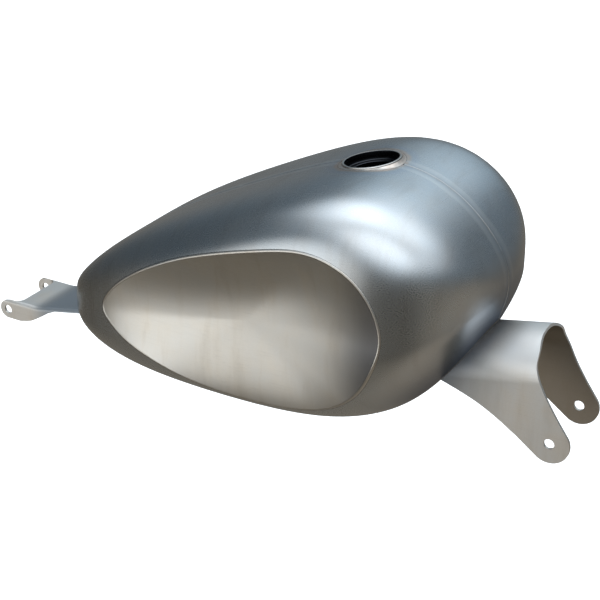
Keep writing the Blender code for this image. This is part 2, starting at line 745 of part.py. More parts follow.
def main():
    for obj in list(bpy.data.objects):
        bpy.data.objects.remove(obj)
    outer = body_solid("outer_body", 0.0)
    inner = body_solid("inner_body", SHELL_SHEET)
    skin = make_skin(outer, inner)
    steel, weld, raw = (0.46, 0.50, 0.53), (0.40, 0.38, 0.35), (0.55, 0.54, 0.51)
    pieces = []
    for side in (1, -1):
        pieces.append((make_shell(skin, side), steel, 0.34))
        pieces.append((make_bottom_weld(skin, side), weld, 0.5))
        pieces.append((make_dish_weld(skin, side), raw, 0.45))
        pieces.append((make_dish(side), raw, 0.38))
        pieces.append((make_front_bracket_weld(side), weld, 0.55))
        pieces.append((make_rear_bracket_weld(side), weld, 0.55))
    for front in (True, False):
        pieces.append((make_crown_weld(front), weld, 0.45))
    pieces.append((make_tunnel(outer), steel, 0.4))
    pieces.append((make_front_bracket(), raw, 0.4))
    pieces.append((make_rear_bracket(), raw, 0.42))
    pieces.append((make_filler_neck(), raw, 0.35))
    pieces.append((make_filler_weld(), weld, 0.45))
    pieces.append((make_bung(), raw, 0.4))
    pieces.append((make_bung_weld(), weld, 0.5))
    for spare in (skin, outer, inner):
        bpy.data.objects.remove(spare)
    for obj, colour, roughness in pieces:
        finish(obj, colour, roughness)


main()
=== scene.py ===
"""Raw-steel motorcycle fuel tank: fine surfaces, finishes and a plain studio.

Frame: origin on the front bolt axis between the front ears, +X to the front, +Y to the left, +Z up.
Lengths in the formulas are in millimetres; finished meshes are in metres. A side is -1 for right, 1 for left.
"""
import math

import bmesh
import bpy
import numpy as np
from mathutils import Matrix, Vector


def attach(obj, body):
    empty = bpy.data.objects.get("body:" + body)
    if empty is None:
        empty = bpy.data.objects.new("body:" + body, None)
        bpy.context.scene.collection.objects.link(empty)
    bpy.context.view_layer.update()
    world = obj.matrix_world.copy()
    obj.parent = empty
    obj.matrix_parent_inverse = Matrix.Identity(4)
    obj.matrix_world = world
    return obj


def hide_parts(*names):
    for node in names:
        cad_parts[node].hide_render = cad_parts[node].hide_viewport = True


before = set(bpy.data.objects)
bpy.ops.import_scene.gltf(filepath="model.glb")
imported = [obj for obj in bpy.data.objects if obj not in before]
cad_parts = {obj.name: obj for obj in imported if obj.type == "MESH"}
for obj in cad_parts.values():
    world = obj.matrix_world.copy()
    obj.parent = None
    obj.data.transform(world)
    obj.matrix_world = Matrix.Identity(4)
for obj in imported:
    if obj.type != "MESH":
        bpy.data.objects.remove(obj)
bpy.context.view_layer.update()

bl_info = {
    "name": "Raw Steel Fuel Tank",
    "version": (1, 0, 0),
    "blender": (4, 5, 0),
    "location": "View3D > Sidebar > Fuel Tank",
    "description": "Builds the fine surfaces of a welded motorcycle fuel tank and its studio",
    "category": "Object",
}

MM = 0.001

# ---------------- sizes (mm)
# body: the outlines are sine series along the length
TANK_LENGTH = 508.0
NOSE_X = -69.0
NOSE_Z = 137.0
TAIL_Z = 28.0
CROWN = (119.0, -23.0, -4.5, 3.0, -4.0)
KEEL = (139.5, -20.5, 0.0, 4.0, -4.0)
PLAN = (152.5, -15.0, 14.0, -2.5, 2.8)
WIDEST_AT = 0.44  # height of the widest line, as a share of the section
SQUARENESS = 4.6  # exponent of the upper part of a section
FULLNESS = 0.62  # exponent of the lower part
FULLNESS_CHANGE = 0.05
SHEET = 1.6  # shells, dishes and tunnel
PLATE = 3.0  # both brackets
GAP = 0.3  # between neighbouring pieces
BEAD = 1.8  # width of the seams between sheets
BEAD_SINK = 0.05  # the crown seam lies this far under the skin at its edges
BEAD_VALLEY = 0.22  # and this much deeper along its middle
# tunnel
ROOF_AT_BOLT = 107.2  # line of the ceiling at the front bolt axis
ROOF_SLOPE = 0.1925
FRONT_SPAN = 84.3  # between the mid-planes of the ears
REAR_SPAN = 70.4
ARCH_FRONT = -155.0  # the arch is constant ahead of this and behind the next
ARCH_REAR = -480.0
ARCH_ENDS = (-640.0, -20.0)  # stretch over which arch cutters are made
REAR_CORNER = 5.0
# dished panels
DISH_OUTLINE = (
    (-483.0, 56.0), (-464.0, 85.0), (-421.0, 118.0), (-362.0, 149.0), (-288.0, 175.0), (-224.0, 188.5),
    (-180.0, 178.0), (-152.5, 150.0), (-142.5, 110.0), (-157.0, 66.0), (-184.0, 30.0), (-223.0, 5.0),
    (-280.0, -4.0), (-357.0, 3.0), (-418.0, 21.0), (-464.0, 38.0))
DISH_DEPTH = 28.0
DISH_HALF_LENGTH = 170.0
DISH_HALF_HEIGHT = 96.0
DISH_FRONT_BIAS = 0.40  # deeper towards the front
DISH_TOP_BIAS = 0.35  # and towards the top
DISH_BEAD = 2.4
DISH_BEAD_CROWN = 0.35  # height of that bead over the skin
# filler
FILLER_X = -221.0
FILLER_TILT = 9.85  # degrees towards the tail
FILLER_BORE = 27.6  # radii
FILLER_OUTER = 30.0
FILLER_THROAT = 21.5
FILLER_LIP = 1.0  # heights from the skin
FILLER_LIP_ROUND = 0.7
FILLER_STEP = 8.0
FILLER_DEPTH = 13.0
FILLER_BEAD = 3.7
# tap boss
BUNG = (-432.0, 72.0)  # x and y
BUNG_OUTER = 14.0  # radii
BUNG_BORE = 8.6
BUNG_OUTSIDE = 5.0  # heights from the skin
BUNG_INSIDE = 8.0
BUNG_BEAD = 2.4
THREAD_PITCH = 1.1
THREAD_DEPTH = 0.55
# saddle bracket: side outline as (x, z), from the roof to the ear and back
SADDLE_FRONT_EDGE = (
    (-27.0, 125.0), (-26.0, 103.0), (-21.5, 90.0), (-20.0, 77.0), (-13.5, 61.5), (-5.5, 46.0), (5.5, 28.5))
SADDLE_LOWER_EDGE = ((-34.5, -0.5), (-58.0, 14.5), (-82.0, 26.5), (-117.0, 38.5), (-150.0, 47.0))
SADDLE_REAR = -150.0
FRONT_EAR = 21.0  # radii
FRONT_HOLE = 5.5
# fork bracket
REAR_BOLT = (-685.5, -29.7)  # x and z
REAR_EAR = 11.5  # radii
REAR_HOLE = 5.25
REAR_PLATE_FRONT = -490.0
REAR_PLATE_END = -668.0
REAR_NOTCH = 9.0  # corner radius of the notch between the ears
REAR_TOP = -17.0  # the plate levels out at this height
REAR_LEVEL_FROM = -628.0
REAR_LEVEL_OVER = 26.0
REAR_LOWER_EDGE = ((-668.0, -41.2), (-652.0, -37.0), (-637.0, -28.5), (-624.0, -20.0))
REAR_UNDER_PLATE = (-614.0, -607.0, -600.0, -580.0, -560.0, -540.0, -520.0, REAR_PLATE_FRONT)
BRACKET_WELD = 2.4
BRACKET_WELD_ROUND = 0.7
REACH = 90.0  # half-width of the cutters for both brackets
# fineness of the meshes
SKIN_GRID = (150, 72)  # along the body and round half a section
TRIM_GRID = (110, 56)
SECTION_POINTS = 181
RIM_POINTS = 180
PANEL_GRID = (240, 36)  # round the panel and towards its middle
NECK_STEPS = 144
BEAD_STEPS = 180
NORMAL_STEP = 0.4  # for slopes measured on the body formula


# ---------------- body formulas (mm)
def waves(phi):
    return np.array([np.sin((k + 1) * phi) for k in range(5)])


def station(phi):
    """Length, crown, keel and half-width; phi runs from 0 at the tail to pi at the nose."""
    phi = np.asarray(phi, float)
    x = NOSE_X - TANK_LENGTH * (1.0 + np.cos(phi)) / 2.0
    axis = TAIL_Z + (NOSE_Z - TAIL_Z) * (1.0 - np.cos(phi)) / 2.0
    w = waves(phi)
    crown = axis + np.tensordot(CROWN, w, 1)
    keel = axis - np.tensordot(KEEL, w, 1)
    return x, crown, keel, np.tensordot(PLAN, w, 1)


def phi_at(x):
    return np.arccos(np.clip(2.0 * (NOSE_X - np.asarray(x, float)) / TANK_LENGTH - 1.0, -1.0, 1.0))


def lower_power(phi):
    return FULLNESS - FULLNESS_CHANGE * np.cos(phi)


def half_section(phi, count):
    """One half of a section from crown to keel, evenly spaced along the outline."""
    _, crown, keel, half = station(phi)
    middle = keel + WIDEST_AT * (crown - keel)
    a = np.radians(np.linspace(90.0, 0.0, SECTION_POINTS))
    c, s = np.abs(np.cos(a)), np.abs(np.sin(a))
    rho = (c ** SQUARENESS + s ** SQUARENESS) ** (-1.0 / SQUARENESS)
    upper = np.stack([half * rho * c, middle + (crown - middle) * rho * s], -1)
    a = np.radians(np.linspace(0.0, 90.0, SECTION_POINTS))[1:]
    wide = half * np.maximum(np.cos(a), 0.0) ** (2.0 * lower_power(phi))
    lower = np.stack([wide, middle - (middle - keel) * np.sin(a)], -1)
    pts = np.vstack([upper, lower])
    pts[0], pts[-1] = (0.0, crown), (0.0, keel)
    run = np.concatenate([[0.0], np.cumsum(np.hypot(*np.diff(pts, axis=0).T))])
    where = np.linspace(0.0, run[-1], count + 1)
    return np.stack([np.interp(where, run, pts[:, 0]), np.interp(where, run, pts[:, 1])], -1)


def section(x):
    """Where x is along the body, and the widest line, crown, keel and half-width there."""
    phi = phi_at(x)
    _, crown, keel, half = station(phi)
    return phi, keel + WIDEST_AT * (crown - keel), crown, keel, half


def level(points):
    """Zero on the body surface, negative inside, for an array of points (x, y, z)."""
    x, y, z = points[..., 0], np.abs(points[..., 1]), points[..., 2]
    phi, middle, crown, keel, half = section(x)
    half = np.maximum(half, 1e-3)
    up = np.maximum(z - middle, 0.0) / np.maximum(crown - middle, 1e-3)
    down = np.minimum(np.maximum(middle - z, 0.0) / np.maximum(middle - keel, 1e-3), 1.5)
    high = ((y / half) ** SQUARENESS + up ** SQUARENESS) ** (1.0 / SQUARENESS) - 1.0
    low = ((y / half) ** (1.0 / lower_power(phi)) + down ** 2) ** 0.5 - 1.0
    return np.where(z >= middle, high, low)


def body_normals(points):
    """Outward unit normals of the body surface."""
    grad = np.zeros_like(points)
    for k in range(3):
        move = np.zeros(3)
        move[k] = NORMAL_STEP
        grad[..., k] = level(points + move) - level(points - move)
    return grad / np.maximum(np.linalg.norm(grad, axis=-1, keepdims=True), 1e-12)


def side_y(x, z):
    """Half-width of the body at a height."""
    phi, middle, crown, keel, half = section(x)
    up = np.clip((z - middle) / (crown - middle), 0.0, 1.0)
    down = np.clip((middle - z) / (middle - keel), 0.0, 1.0)
    high = half * (1.0 - up ** SQUARENESS) ** (1.0 / SQUARENESS)
    return np.where(z >= middle, high, half * (1.0 - down ** 2) ** lower_power(phi))


def crown_z(x, y):
    """Height of the upper surface."""
    _, middle, crown, _, half = section(x)
    share = np.clip(np.abs(y) / half, 0.0, 1.0)
    return middle + (crown - middle) * (1.0 - share ** SQUARENESS) ** (1.0 / SQUARENESS)


def floor_z(x, y):
    """Height of the lower surface."""
    phi, middle, _, keel, half = section(x)
    share = np.clip(np.abs(y) / half, 0.0, 1.0) ** (1.0 / lower_power(phi))
    return middle - (middle - keel) * np.sqrt(1.0 - share)


def roof_line(x):
    return ROOF_AT_BOLT + ROOF_SLOPE * x


# ---------------- mesh helpers (mm)
def make_mesh(name, verts, faces):
    mesh = bpy.data.meshes.new(name)
    mesh.from_pydata(np.asarray(verts, float).tolist(), [], faces)
    obj = bpy.data.objects.new(name, mesh)
    bpy.context.scene.collection.objects.link(obj)
    bm = bmesh.new()
    bm.from_mesh(mesh)
    bmesh.ops.recalc_face_normals(bm, faces=bm.faces[:])
    if bm.calc_volume(signed=True) < 0.0:
        bmesh.ops.reverse_faces(bm, faces=bm.faces[:])
    bm.to_mesh(mesh)
    bm.free()
    return obj


def bridge(count, n, closed):
    """Quads between successive rings of n points."""
    faces = []
    for i in range(count if closed else count - 1):
        a, b = i * n, ((i + 1) % count) * n
        faces += [(a + j, a + (j + 1) % n, b + (j + 1) % n, b + j) for j in range(n)]
    return faces


def loft(name, rings, closed=False):
    """Solid through rings with the same point count; capped unless it closes on itself."""
    n, count = len(rings[0]), len(rings)
    faces = bridge(count, n, closed)
    if not closed:
        faces += [tuple(range(n)), tuple(range((count - 1) * n, count * n))]
    return make_mesh(name, np.concatenate([np.asarray(r, float) for r in rings]), faces)


def applied(obj):
    """The object with its modifiers made part of its mesh."""
    bpy.context.view_layer.update()
    data = bpy.data.meshes.new_from_object(obj.evaluated_get(bpy.context.evaluated_depsgraph_get()))
    obj.modifiers.clear()
    obj.data = data
    return obj


def boolean(obj, cutter, operation):
    """Apply one exact boolean and drop the cutter."""
    mod = obj.modifiers.new("cut", 'BOOLEAN')
    mod.operation, mod.solver, mod.object = operation, 'EXACT', cutter
    applied(obj)
    bpy.data.objects.remove(cutter)
    return obj


def clone(obj, name):
    copy = bpy.data.objects.new(name, obj.data.copy())
    bpy.context.scene.collection.objects.link(copy)
    return copy


def box(name, low, high):
    (x0, y0, z0), (x1, y1, z1) = low, high
    return loft(name, [[(x, y0, z0), (x, y1, z0), (x, y1, z1), (x, y0, z1)] for x in (x0, x1)])


def prism_y(name, outline, y0, y1):
    return loft(name, [[(x, y, z) for x, z in outline] for y in (y0, y1)])


def directions(axis, steps):
    """Unit vectors at right angles to the axis, evenly spaced round it."""
    helper = np.array([1.0, 0.0, 0.0]) if abs(axis[0]) < 0.9 else np.array([0.0, 1.0, 0.0])
    side = helper - axis * float(helper @ axis)
    side = side / np.linalg.norm(side)
    other = np.cross(axis, side)
    angles = np.linspace(0.0, 2 * math.pi, steps, endpoint=False)
    return [side * math.cos(a) + other * math.sin(a) for a in angles]


def turned(name, centre, axis, profile, steps):
    """Ring turned from a closed profile of (radius, height)."""
    rings = [[centre + out * r + axis * h for r, h in profile] for out in directions(axis, steps)]
    return loft(name, rings, True)


def rod(centre, axis, radius, start, end, steps=96):
    ring = np.array(directions(axis, steps)) * radius
    return loft("rod", [centre + axis * h + ring for h in (start, end)])


def cross_rod(bolt, radius):
    """Cutter for a bolt hole across both ears, at (x, z)."""
    return rod(np.array([bolt[0], 0.0, bolt[1]]), np.array([0.0, 1.0, 0.0]), radius, -REACH, REACH, 64)


def arc(centre, radius, start, end, count):
    """Points of a circular arc between two angles in degrees."""
    angles = np.radians(np.linspace(start, end, count))
    return [(centre[0] + radius * math.cos(a), centre[1] + radius * math.sin(a)) for a in angles]


def spline_point(p0, p1, p2, p3, t):
    bend = (2 * p0 - 5 * p1 + 4 * p2 - p3) * t * t + (3 * p1 - p0 - 3 * p2 + p3) * t * t * t
    return 0.5 * (2 * p1 + (p2 - p0) * t + bend)


def smooth_closed(points, count):
    """Even points on a smooth closed curve through given points."""
    pts = np.array(points, float)
    n = len(pts)
    spans = [(pts[i - 1], pts[i], pts[(i + 1) % n], pts[(i + 2) % n]) for i in range(n)]
    fine = np.array([spline_point(*span, k / 24.0) for span in spans for k in range(24)])
    loop = np.vstack([fine, fine[:1]])
    run = np.concatenate([[0.0], np.cumsum(np.hypot(*np.diff(loop, axis=0).T))])
    where = np.linspace(0.0, run[-1], count, endpoint=False)
    return np.stack([np.interp(where, run, loop[:, 0]), np.interp(where, run, loop[:, 1])], -1)


def smooth_open(points, per_span):
    """Points on a smooth curve from the first given point to the last."""
    pts = [np.array(p, float) for p in points]
    pts = [2 * pts[0] - pts[1]] + pts + [2 * pts[-1] - pts[-2]]
    spans = zip(pts, pts[1:], pts[2:], pts[3:])
    curve = [spline_point(*span, k / per_span) for span in spans for k in range(per_span)] + [pts[-2]]
    return [tuple(p) for p in curve]


def grown(outline, distance):
    """Closed outline moved outwards."""
    step = np.roll(outline, -1, 0) - np.roll(outline, 1, 0)
    normal = np.stack([step[:, 1], -step[:, 0]], -1)
    normal /= np.linalg.norm(normal, axis=1)[:, None]
    x, y = outline.T
    area = float(np.sum(x * np.roll(y, -1) - np.roll(x, -1) * y))
    return outline + normal * (distance if area > 0 else -distance)


def soften(obj, width):
    """Round the sharp edges of a plate or a bead."""
    mod = obj.modifiers.new("round", 'BEVEL')
    mod.width, mod.segments, mod.limit_method, mod.angle_limit = width, 3, 'ANGLE', math.radians(35.0)
    mod.use_clamp_overlap = True
    return applied(obj)


def weigh_normals(obj):
    """Keep large flat faces flat beside rounded edges."""
    mod = obj.modifiers.new("weigh", 'WEIGHTED_NORMAL')
    mod.mode, mod.weight, mod.keep_sharp = 'FACE_AREA', 100, True
    applied(obj)


def settle(obj, mat, stands_for, sharp=30.0, flat=False):
    """Bring a finished mesh to metres, shade it and tie it to the frame."""
    obj.data.transform(Matrix.Scale(MM, 4))
    obj.data.materials.clear()
    obj.data.materials.append(mat)
    obj.data.shade_smooth()
    if sharp:
        obj.data.set_sharp_from_angle(angle=math.radians(sharp))
    if flat:
        weigh_normals(obj)
    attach(obj, "root")
    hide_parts(*stands_for)
    return obj


# ---------------- fine surfaces
def body_surface(along, around):
    """Points and faces of the closed body surface; the last two points are its tips, tail then nose."""
    rings = []
    for phi in np.linspace(0.0, math.pi, along + 1)[1:-1]:
        half = half_section(phi, around)
        x = float(station(phi)[0])
        rings.append([(x, y, z) for y, z in half] + [(x, -y, z) for y, z in half[-2:0:-1]])
    count, n = len(rings), len(rings[0])
    tips = [[NOSE_X - TANK_LENGTH, 0.0, TAIL_Z], [NOSE_X, 0.0, NOSE_Z]]
    points = np.vstack([np.array(rings).reshape(-1, 3), tips])
    tail, nose, last = count * n, count * n + 1, (count - 1) * n
    faces = bridge(count, n, False)
    for j in range(n):
        k = (j + 1) % n
        faces += [(tail, k, j), (nose, last + j, last + k)]
    return points, faces


def skin_solid():
    """The pressed skin as a solid of sheet thickness, still uncut."""
    outer, faces = body_surface(*SKIN_GRID)
    normals = body_normals(outer)
    normals[-2], normals[-1] = (-1.0, 0.0, 0.0), (1.0, 0.0, 0.0)
    hollow = make_mesh("inside", outer - normals * SHEET, faces)
    return boolean(make_mesh("outside", outer, faces), hollow, 'DIFFERENCE')


def arch_outline(wide, corner, roof, floor, steps):
    left = arc((-wide + corner, roof - corner), corner, 180.0, 90.0, steps + 1)
    right = arc((wide - corner, roof - corner), corner, 90.0, 0.0, steps + 1)
    return [(-wide, floor)] + left + right + [(wide, floor)]


def arch_points(x, grow):
    """Section of the tunnel at x as (y, z), moved outwards."""
    share = max(0.0, min(1.0, (x - ARCH_REAR) / (ARCH_FRONT - ARCH_REAR)))
    share = share * share * (3.0 - 2.0 * share)
    wide_front = (FRONT_SPAN + PLATE) / 2.0 + GAP
    wide_rear = (REAR_SPAN + PLATE) / 2.0 + GAP
    wide = wide_rear + (wide_front - wide_rear) * share
    corner = REAR_CORNER + (wide_front - 1.0 - REAR_CORNER) * share
    return arch_outline(wide + grow, corner + grow, roof_line(x) + grow, -150.0, 20)


def arch_solid(grow):
    return loft("slot", [[(x, y, z) for y, z in arch_points(x, grow)] for x in np.linspace(*ARCH_ENDS, 49)])


def arch_sheet(name, outer, inner, ends=ARCH_ENDS, count=48):
    """Arched sheet between two distances from the tunnel's inner face."""
    rings = []
    for x in np.linspace(*ends, count + 1):
        rings.append([(x, y, z) for y, z in arch_points(x, outer) + arch_points(x, inner)[::-1]])
    return loft(name, rings)


def half_space(side, clear):
    """Cutter for everything on one side of the centre plane, with a clearance."""
    y0, y1 = sorted((side * clear, side * 400.0))
    return box("half", (-900.0, y0, -400.0), (200.0, y1, 500.0))


def dish_rim(grow, count=RIM_POINTS):
    return grown(smooth_closed(DISH_OUTLINE, count), grow)


def dish_prism(side, grow):
    return prism_y("dish_prism", dish_rim(grow), *sorted((side * 56.0, side * 260.0)))


def filler_frame():
    """Centre of the filler on the skin, and its axis."""
    tilt = math.radians(FILLER_TILT)
    centre = np.array([FILLER_X, 0.0, float(crown_z(FILLER_X, 0.0))])
    return centre, np.array([-math.sin(tilt), 0.0, math.cos(tilt)])


def bung_frame():
    """Centre of the tap boss on the skin, and its axis, which is square to the skin."""
    x, y = BUNG
    slope_x = (floor_z(x + 2.0, y) - floor_z(x - 2.0, y)) / 4.0
    slope_y = (floor_z(x, y + 2.0) - floor_z(x, y - 2.0)) / 4.0
    axis = np.array([float(slope_x), float(slope_y), -1.0])
    return np.array([x, y, float(floor_z(x, y))]), axis / np.linalg.norm(axis)


def shade_by_formula(obj):
    """Exact normals on the pressed surfaces, so that cuts leave no marks in the reflections."""
    mesh = obj.data
    co = np.zeros(len(mesh.vertices) * 3)
    mesh.vertices.foreach_get("co", co)
    co = co.reshape(-1, 3)
    normals = body_normals(co)
    steps = NORMAL_STEP * np.eye(3)
    rate = np.sqrt(sum(((level(co + e) - level(co - e)) / (2 * NORMAL_STEP)) ** 2 for e in steps))
    distance = level(co) / np.maximum(rate, 1e-6)
    on_outside, on_inside = np.abs(distance) < 0.12, np.abs(distance + SHEET) < 0.25
    custom = np.zeros((len(mesh.loops), 3))
    for poly in mesh.polygons:
        ids = np.array(poly.vertices)
        loops = np.arange(poly.loop_start, poly.loop_start + poly.loop_total)
        flat = np.array(poly.normal)
        outward = float(flat @ normals[ids].mean(0))
        if on_outside[ids].all() and outward > 0.6:
            custom[loops] = normals[ids]
        elif on_inside[ids].all() and outward < -0.6:
            custom[loops] = -normals[ids]
        else:
            custom[loops] = flat
    mesh.shade_smooth()
    mesh.normals_split_custom_set(custom.tolist())


# ---------------- pieces
def sided(stem, side):
    return stem + ("_left" if side > 0 else "_right")


def build_shell(skin, side):
    obj = clone(skin, sided("shell", side))
    boolean(obj, half_space(side, BEAD / 2.0 + GAP), 'INTERSECT')
    boolean(obj, arch_solid(SHEET + BEAD + 2 * GAP), 'DIFFERENCE')
    boolean(obj, dish_prism(side, DISH_BEAD / 2.0 + GAP), 'DIFFERENCE')
    boolean(obj, rod(*filler_frame(), FILLER_OUTER + FILLER_BEAD + 2 * GAP, -30.0, 30.0), 'DIFFERENCE')
    if side > 0:
        boolean(obj, rod(*bung_frame(), BUNG_OUTER + BUNG_BEAD + 2 * GAP, -20.0, 20.0, 64), 'DIFFERENCE')
    shade_by_formula(obj)
    return obj


def build_bottom_weld(skin, side):
    obj = clone(skin, sided("bottom_bead", side))
    low = SHEET + GAP
    boolean(obj, arch_sheet("band", low + BEAD, low), 'INTERSECT')
    return boolean(obj, half_space(side, GAP / 2.0), 'INTERSECT')


def build_dish_weld(side):
    """Bead round the dish, ground nearly flush and a little crowned."""
    across = np.linspace(DISH_BEAD / 2.0, -DISH_BEAD / 2.0, 9)
    heights = [DISH_BEAD_CROWN * (1.0 - (2.0 * d / DISH_BEAD) ** 2) for d in across]
    lines = []
    for d, height in zip([*across, across[-1], across[0]], heights + [-SHEET, -SHEET]):
        rim = dish_rim(d)
        pts = np.stack([rim[:, 0], side_y(rim[:, 0], rim[:, 1]), rim[:, 1]], -1)
        lines.append(pts + body_normals(pts) * height)
    rings = np.stack(lines, 1)
    rings[..., 1] *= side
    return loft(sided("dish_bead", side), list(rings), True)


def dish_terms(x, z, middle):
    """Powers of the position in the dish up to the fourth, and how stiffly each is held."""
    along, up = (x - middle[0]) / DISH_HALF_LENGTH, (z - middle[1]) / DISH_HALF_HEIGHT
    orders = [(i, j) for i in range(5) for j in range(5 - i)]
    terms = np.stack([along ** i * up ** j for i, j in orders], -1)
    return terms, np.array([0.0 if i + j < 2 else 0.3 if i + j == 2 else 3.0 for i, j in orders])


def build_dish(side):
    """Pressed panel, flush at its rim and hollowed towards the middle."""
    count, rows = PANEL_GRID
    rim = dish_rim(-(DISH_BEAD / 2.0 + GAP), count)
    rim_y = side_y(rim[:, 0], rim[:, 1])
    middle = rim.mean(0)
    terms, stiffness = dish_terms(rim[:, 0], rim[:, 1], middle)
    weights = np.linalg.solve(terms.T @ terms + np.diag(stiffness), terms.T @ rim_y)
    left_over = rim_y - terms @ weights
    verts, faces = [], []
    for depth in (0.0, SHEET):
        for share in np.linspace(1.0, 0.0, rows + 1) ** 0.8:
            ring = middle + (rim - middle) * share
            terms, _ = dish_terms(ring[:, 0], ring[:, 1], middle)
            lean = 1.0 + DISH_FRONT_BIAS * (ring[:, 0] - middle[0]) / DISH_HALF_LENGTH
            lean += DISH_TOP_BIAS * (ring[:, 1] - middle[1]) / DISH_HALF_HEIGHT
            hollow = DISH_DEPTH * (1.0 - share ** 2) * lean
            y = terms @ weights + left_over * share ** 8 - hollow - depth
            points = np.stack([ring[:, 0], side * y, ring[:, 1]], -1)
            verts.append(points if share > 0.0 else points[:1])
    layer = rows * count + 1
    for start in (0, layer):
        faces += [tuple(start + i for i in quad) for quad in bridge(rows, count, False)]
        inner, tip = start + (rows - 1) * count, start + layer - 1
        faces += [(inner + j, inner + (j + 1) % count, tip) for j in range(count)]
    faces += [(j, (j + 1) % count, layer + (j + 1) % count, layer + j) for j in range(count)]
    return make_mesh(sided("dish", side), np.vstack(verts), faces)


def crown_path(front):
    """Centre-plane points of the top seam, ahead of or behind the filler."""
    clear = (FILLER_OUTER + FILLER_BEAD + 3 * GAP) / math.cos(math.radians(FILLER_TILT))
    stop = SHEET + BEAD + 4 * GAP
    tip = math.pi if front else 0.0
    start = float(phi_at(FILLER_X + clear if front else FILLER_X - clear))
    upper = np.linspace(start, tip, 90)[:-1]
    end = tip
    while station(end)[2] > roof_line(station(end)[0]) + stop:
        end += -0.001 if front else 0.001
    lower = np.linspace(tip, end, 30)
    x0, top = station(upper)[:2]
    x1, low = station(lower)[0], station(lower)[2]
    return np.stack([np.concatenate([x0, x1]), np.concatenate([top, low])], -1)


def build_crown_weld(front):
    """Ground seam between the two halves, a shallow valley along its middle."""
    path = crown_path(front)
    step = np.gradient(path, axis=0)
    normal = np.stack([-step[:, 1], step[:, 0]], -1) * (1.0 if front else -1.0)
    normal /= np.linalg.norm(normal, axis=1)[:, None]
    across = np.linspace(-BEAD / 2.0, BEAD / 2.0, 7)
    rings = []
    for p, n in zip(path, normal):
        ring = []
        for y in across:
            q = p - n * (BEAD_SINK + BEAD_VALLEY * (1.0 - (2.0 * y / BEAD) ** 2))
            ring.append((q[0], y, q[1]))
        low = p - n * SHEET
        rings.append(ring + [(low[0], across[-1], low[1]), (low[0], across[0], low[1])])
    return loft("crown_bead_front" if front else "crown_bead_rear", rings)


def build_front_bracket(edge):
    """Saddle bent over the backbone, with two holed ears."""
    outline = smooth_open(SADDLE_FRONT_EDGE, 12) + arc((0.0, 0.0), FRONT_EAR, 30.0, -120.0, 49)
    outline += smooth_open(SADDLE_LOWER_EDGE, 10) + [(SADDLE_REAR, 125.0)]
    obj = arch_sheet("saddle_bracket", -GAP, -GAP - PLATE, (SADDLE_REAR - 4.0, 30.0), 2)
    boolean(obj, prism_y("outline", outline, -REACH, REACH), 'INTERSECT')
    boolean(obj, cross_rod((0.0, 0.0), FRONT_HOLE), 'DIFFERENCE')
    return soften(obj, edge)


def rear_plate_top(x):
    line = roof_line(x) - GAP
    share = max(0.0, min(1.0, (REAR_LEVEL_FROM - x) / REAR_LEVEL_OVER))
    return line + (REAR_TOP - line) * share * share * (3.0 - 2.0 * share)


def build_rear_bracket(edge):
    """Plate under the tail, bent down into two small holed ears."""
    wide, corner, low = (REAR_SPAN + PLATE) / 2.0, REAR_CORNER - GAP, -80.0
    inside, r = wide - PLATE, REAR_NOTCH
    rings = []
    for x in [REAR_PLATE_FRONT + 4.0, *np.linspace(-520.0, -706.0, 94)]:
        top = rear_plate_top(x)
        ring = arch_outline(wide, corner, top, low, 8)
        ring += arch_outline(inside, corner - PLATE, top - PLATE, low, 8)[::-1]
        rings.append([(x, y, z) for y, z in ring])
    obj = loft("fork_bracket", rings)
    outline = [(REAR_PLATE_FRONT, 60.0), (-640.0, 60.0), (REAR_PLATE_END, REAR_TOP + 4.0)]
    outline += arc(REAR_BOLT, REAR_EAR, 95.0, 260.0, 41) + smooth_open(REAR_LOWER_EDGE, 10)
    outline += [(x, rear_plate_top(x) - PLATE - 1.0) for x in REAR_UNDER_PLATE]
    boolean(obj, prism_y("outline", outline, -REACH, REACH), 'INTERSECT')
    notch = [(-760.0, -inside), (-760.0, inside)]
    notch += arc((REAR_PLATE_END - r, inside - r), r, 90.0, 0.0, 17)
    notch += arc((REAR_PLATE_END - r, -inside + r), r, 0.0, -90.0, 17)
    boolean(obj, loft("notch", [[(x, y, z) for x, y in notch] for z in (low + 2.0, 20.0)]), 'DIFFERENCE')
    boolean(obj, cross_rod(REAR_BOLT, REAR_HOLE), 'DIFFERENCE')
    return soften(obj, edge)


def build_tunnel():
    trim = make_mesh("trim", *body_surface(*TRIM_GRID))
    return boolean(arch_sheet("tunnel_sheet", SHEET, 0.0), trim, 'INTERSECT')


def build_front_bracket_weld(side):
    rear = SADDLE_REAR - GAP
    obj = arch_sheet(sided("saddle_bead", side), -GAP, -GAP - BRACKET_WELD, (rear - BRACKET_WELD, rear), 1)
    y0, y1 = sorted((8.0 * side, 70.0 * side))
    boolean(obj, box("span", (rear - 9.0, y0, 48.0), (rear + 9.0, y1, 150.0)), 'INTERSECT')
    return soften(obj, BRACKET_WELD_ROUND)


def build_rear_bracket_weld(side):
    """Uneven fillet in the corner between the tunnel's wall and the plate, tapered at both ends."""
    wall, count = (REAR_SPAN + PLATE) / 2.0, 97
    rings = []
    for i, x in enumerate(np.linspace(-545.0, -497.0, count)):
        size = BRACKET_WELD * (0.93 + 0.07 * math.sin(i * 1.9)) * min(1.0, 0.4 + 0.12 * min(i, count - 1 - i))
        z = rear_plate_top(x) - PLATE - 1.0 - GAP
        angles = np.radians(np.linspace(0.0, 89.9, 7))
        curve = [(wall - size * math.cos(a) ** 0.8, z - size * math.sin(a) ** 0.8) for a in angles]
        rings.append([(x, side * wall, z)] + [(x, side * y, h) for y, h in curve])
    return loft(sided("fork_bead", side), rings)


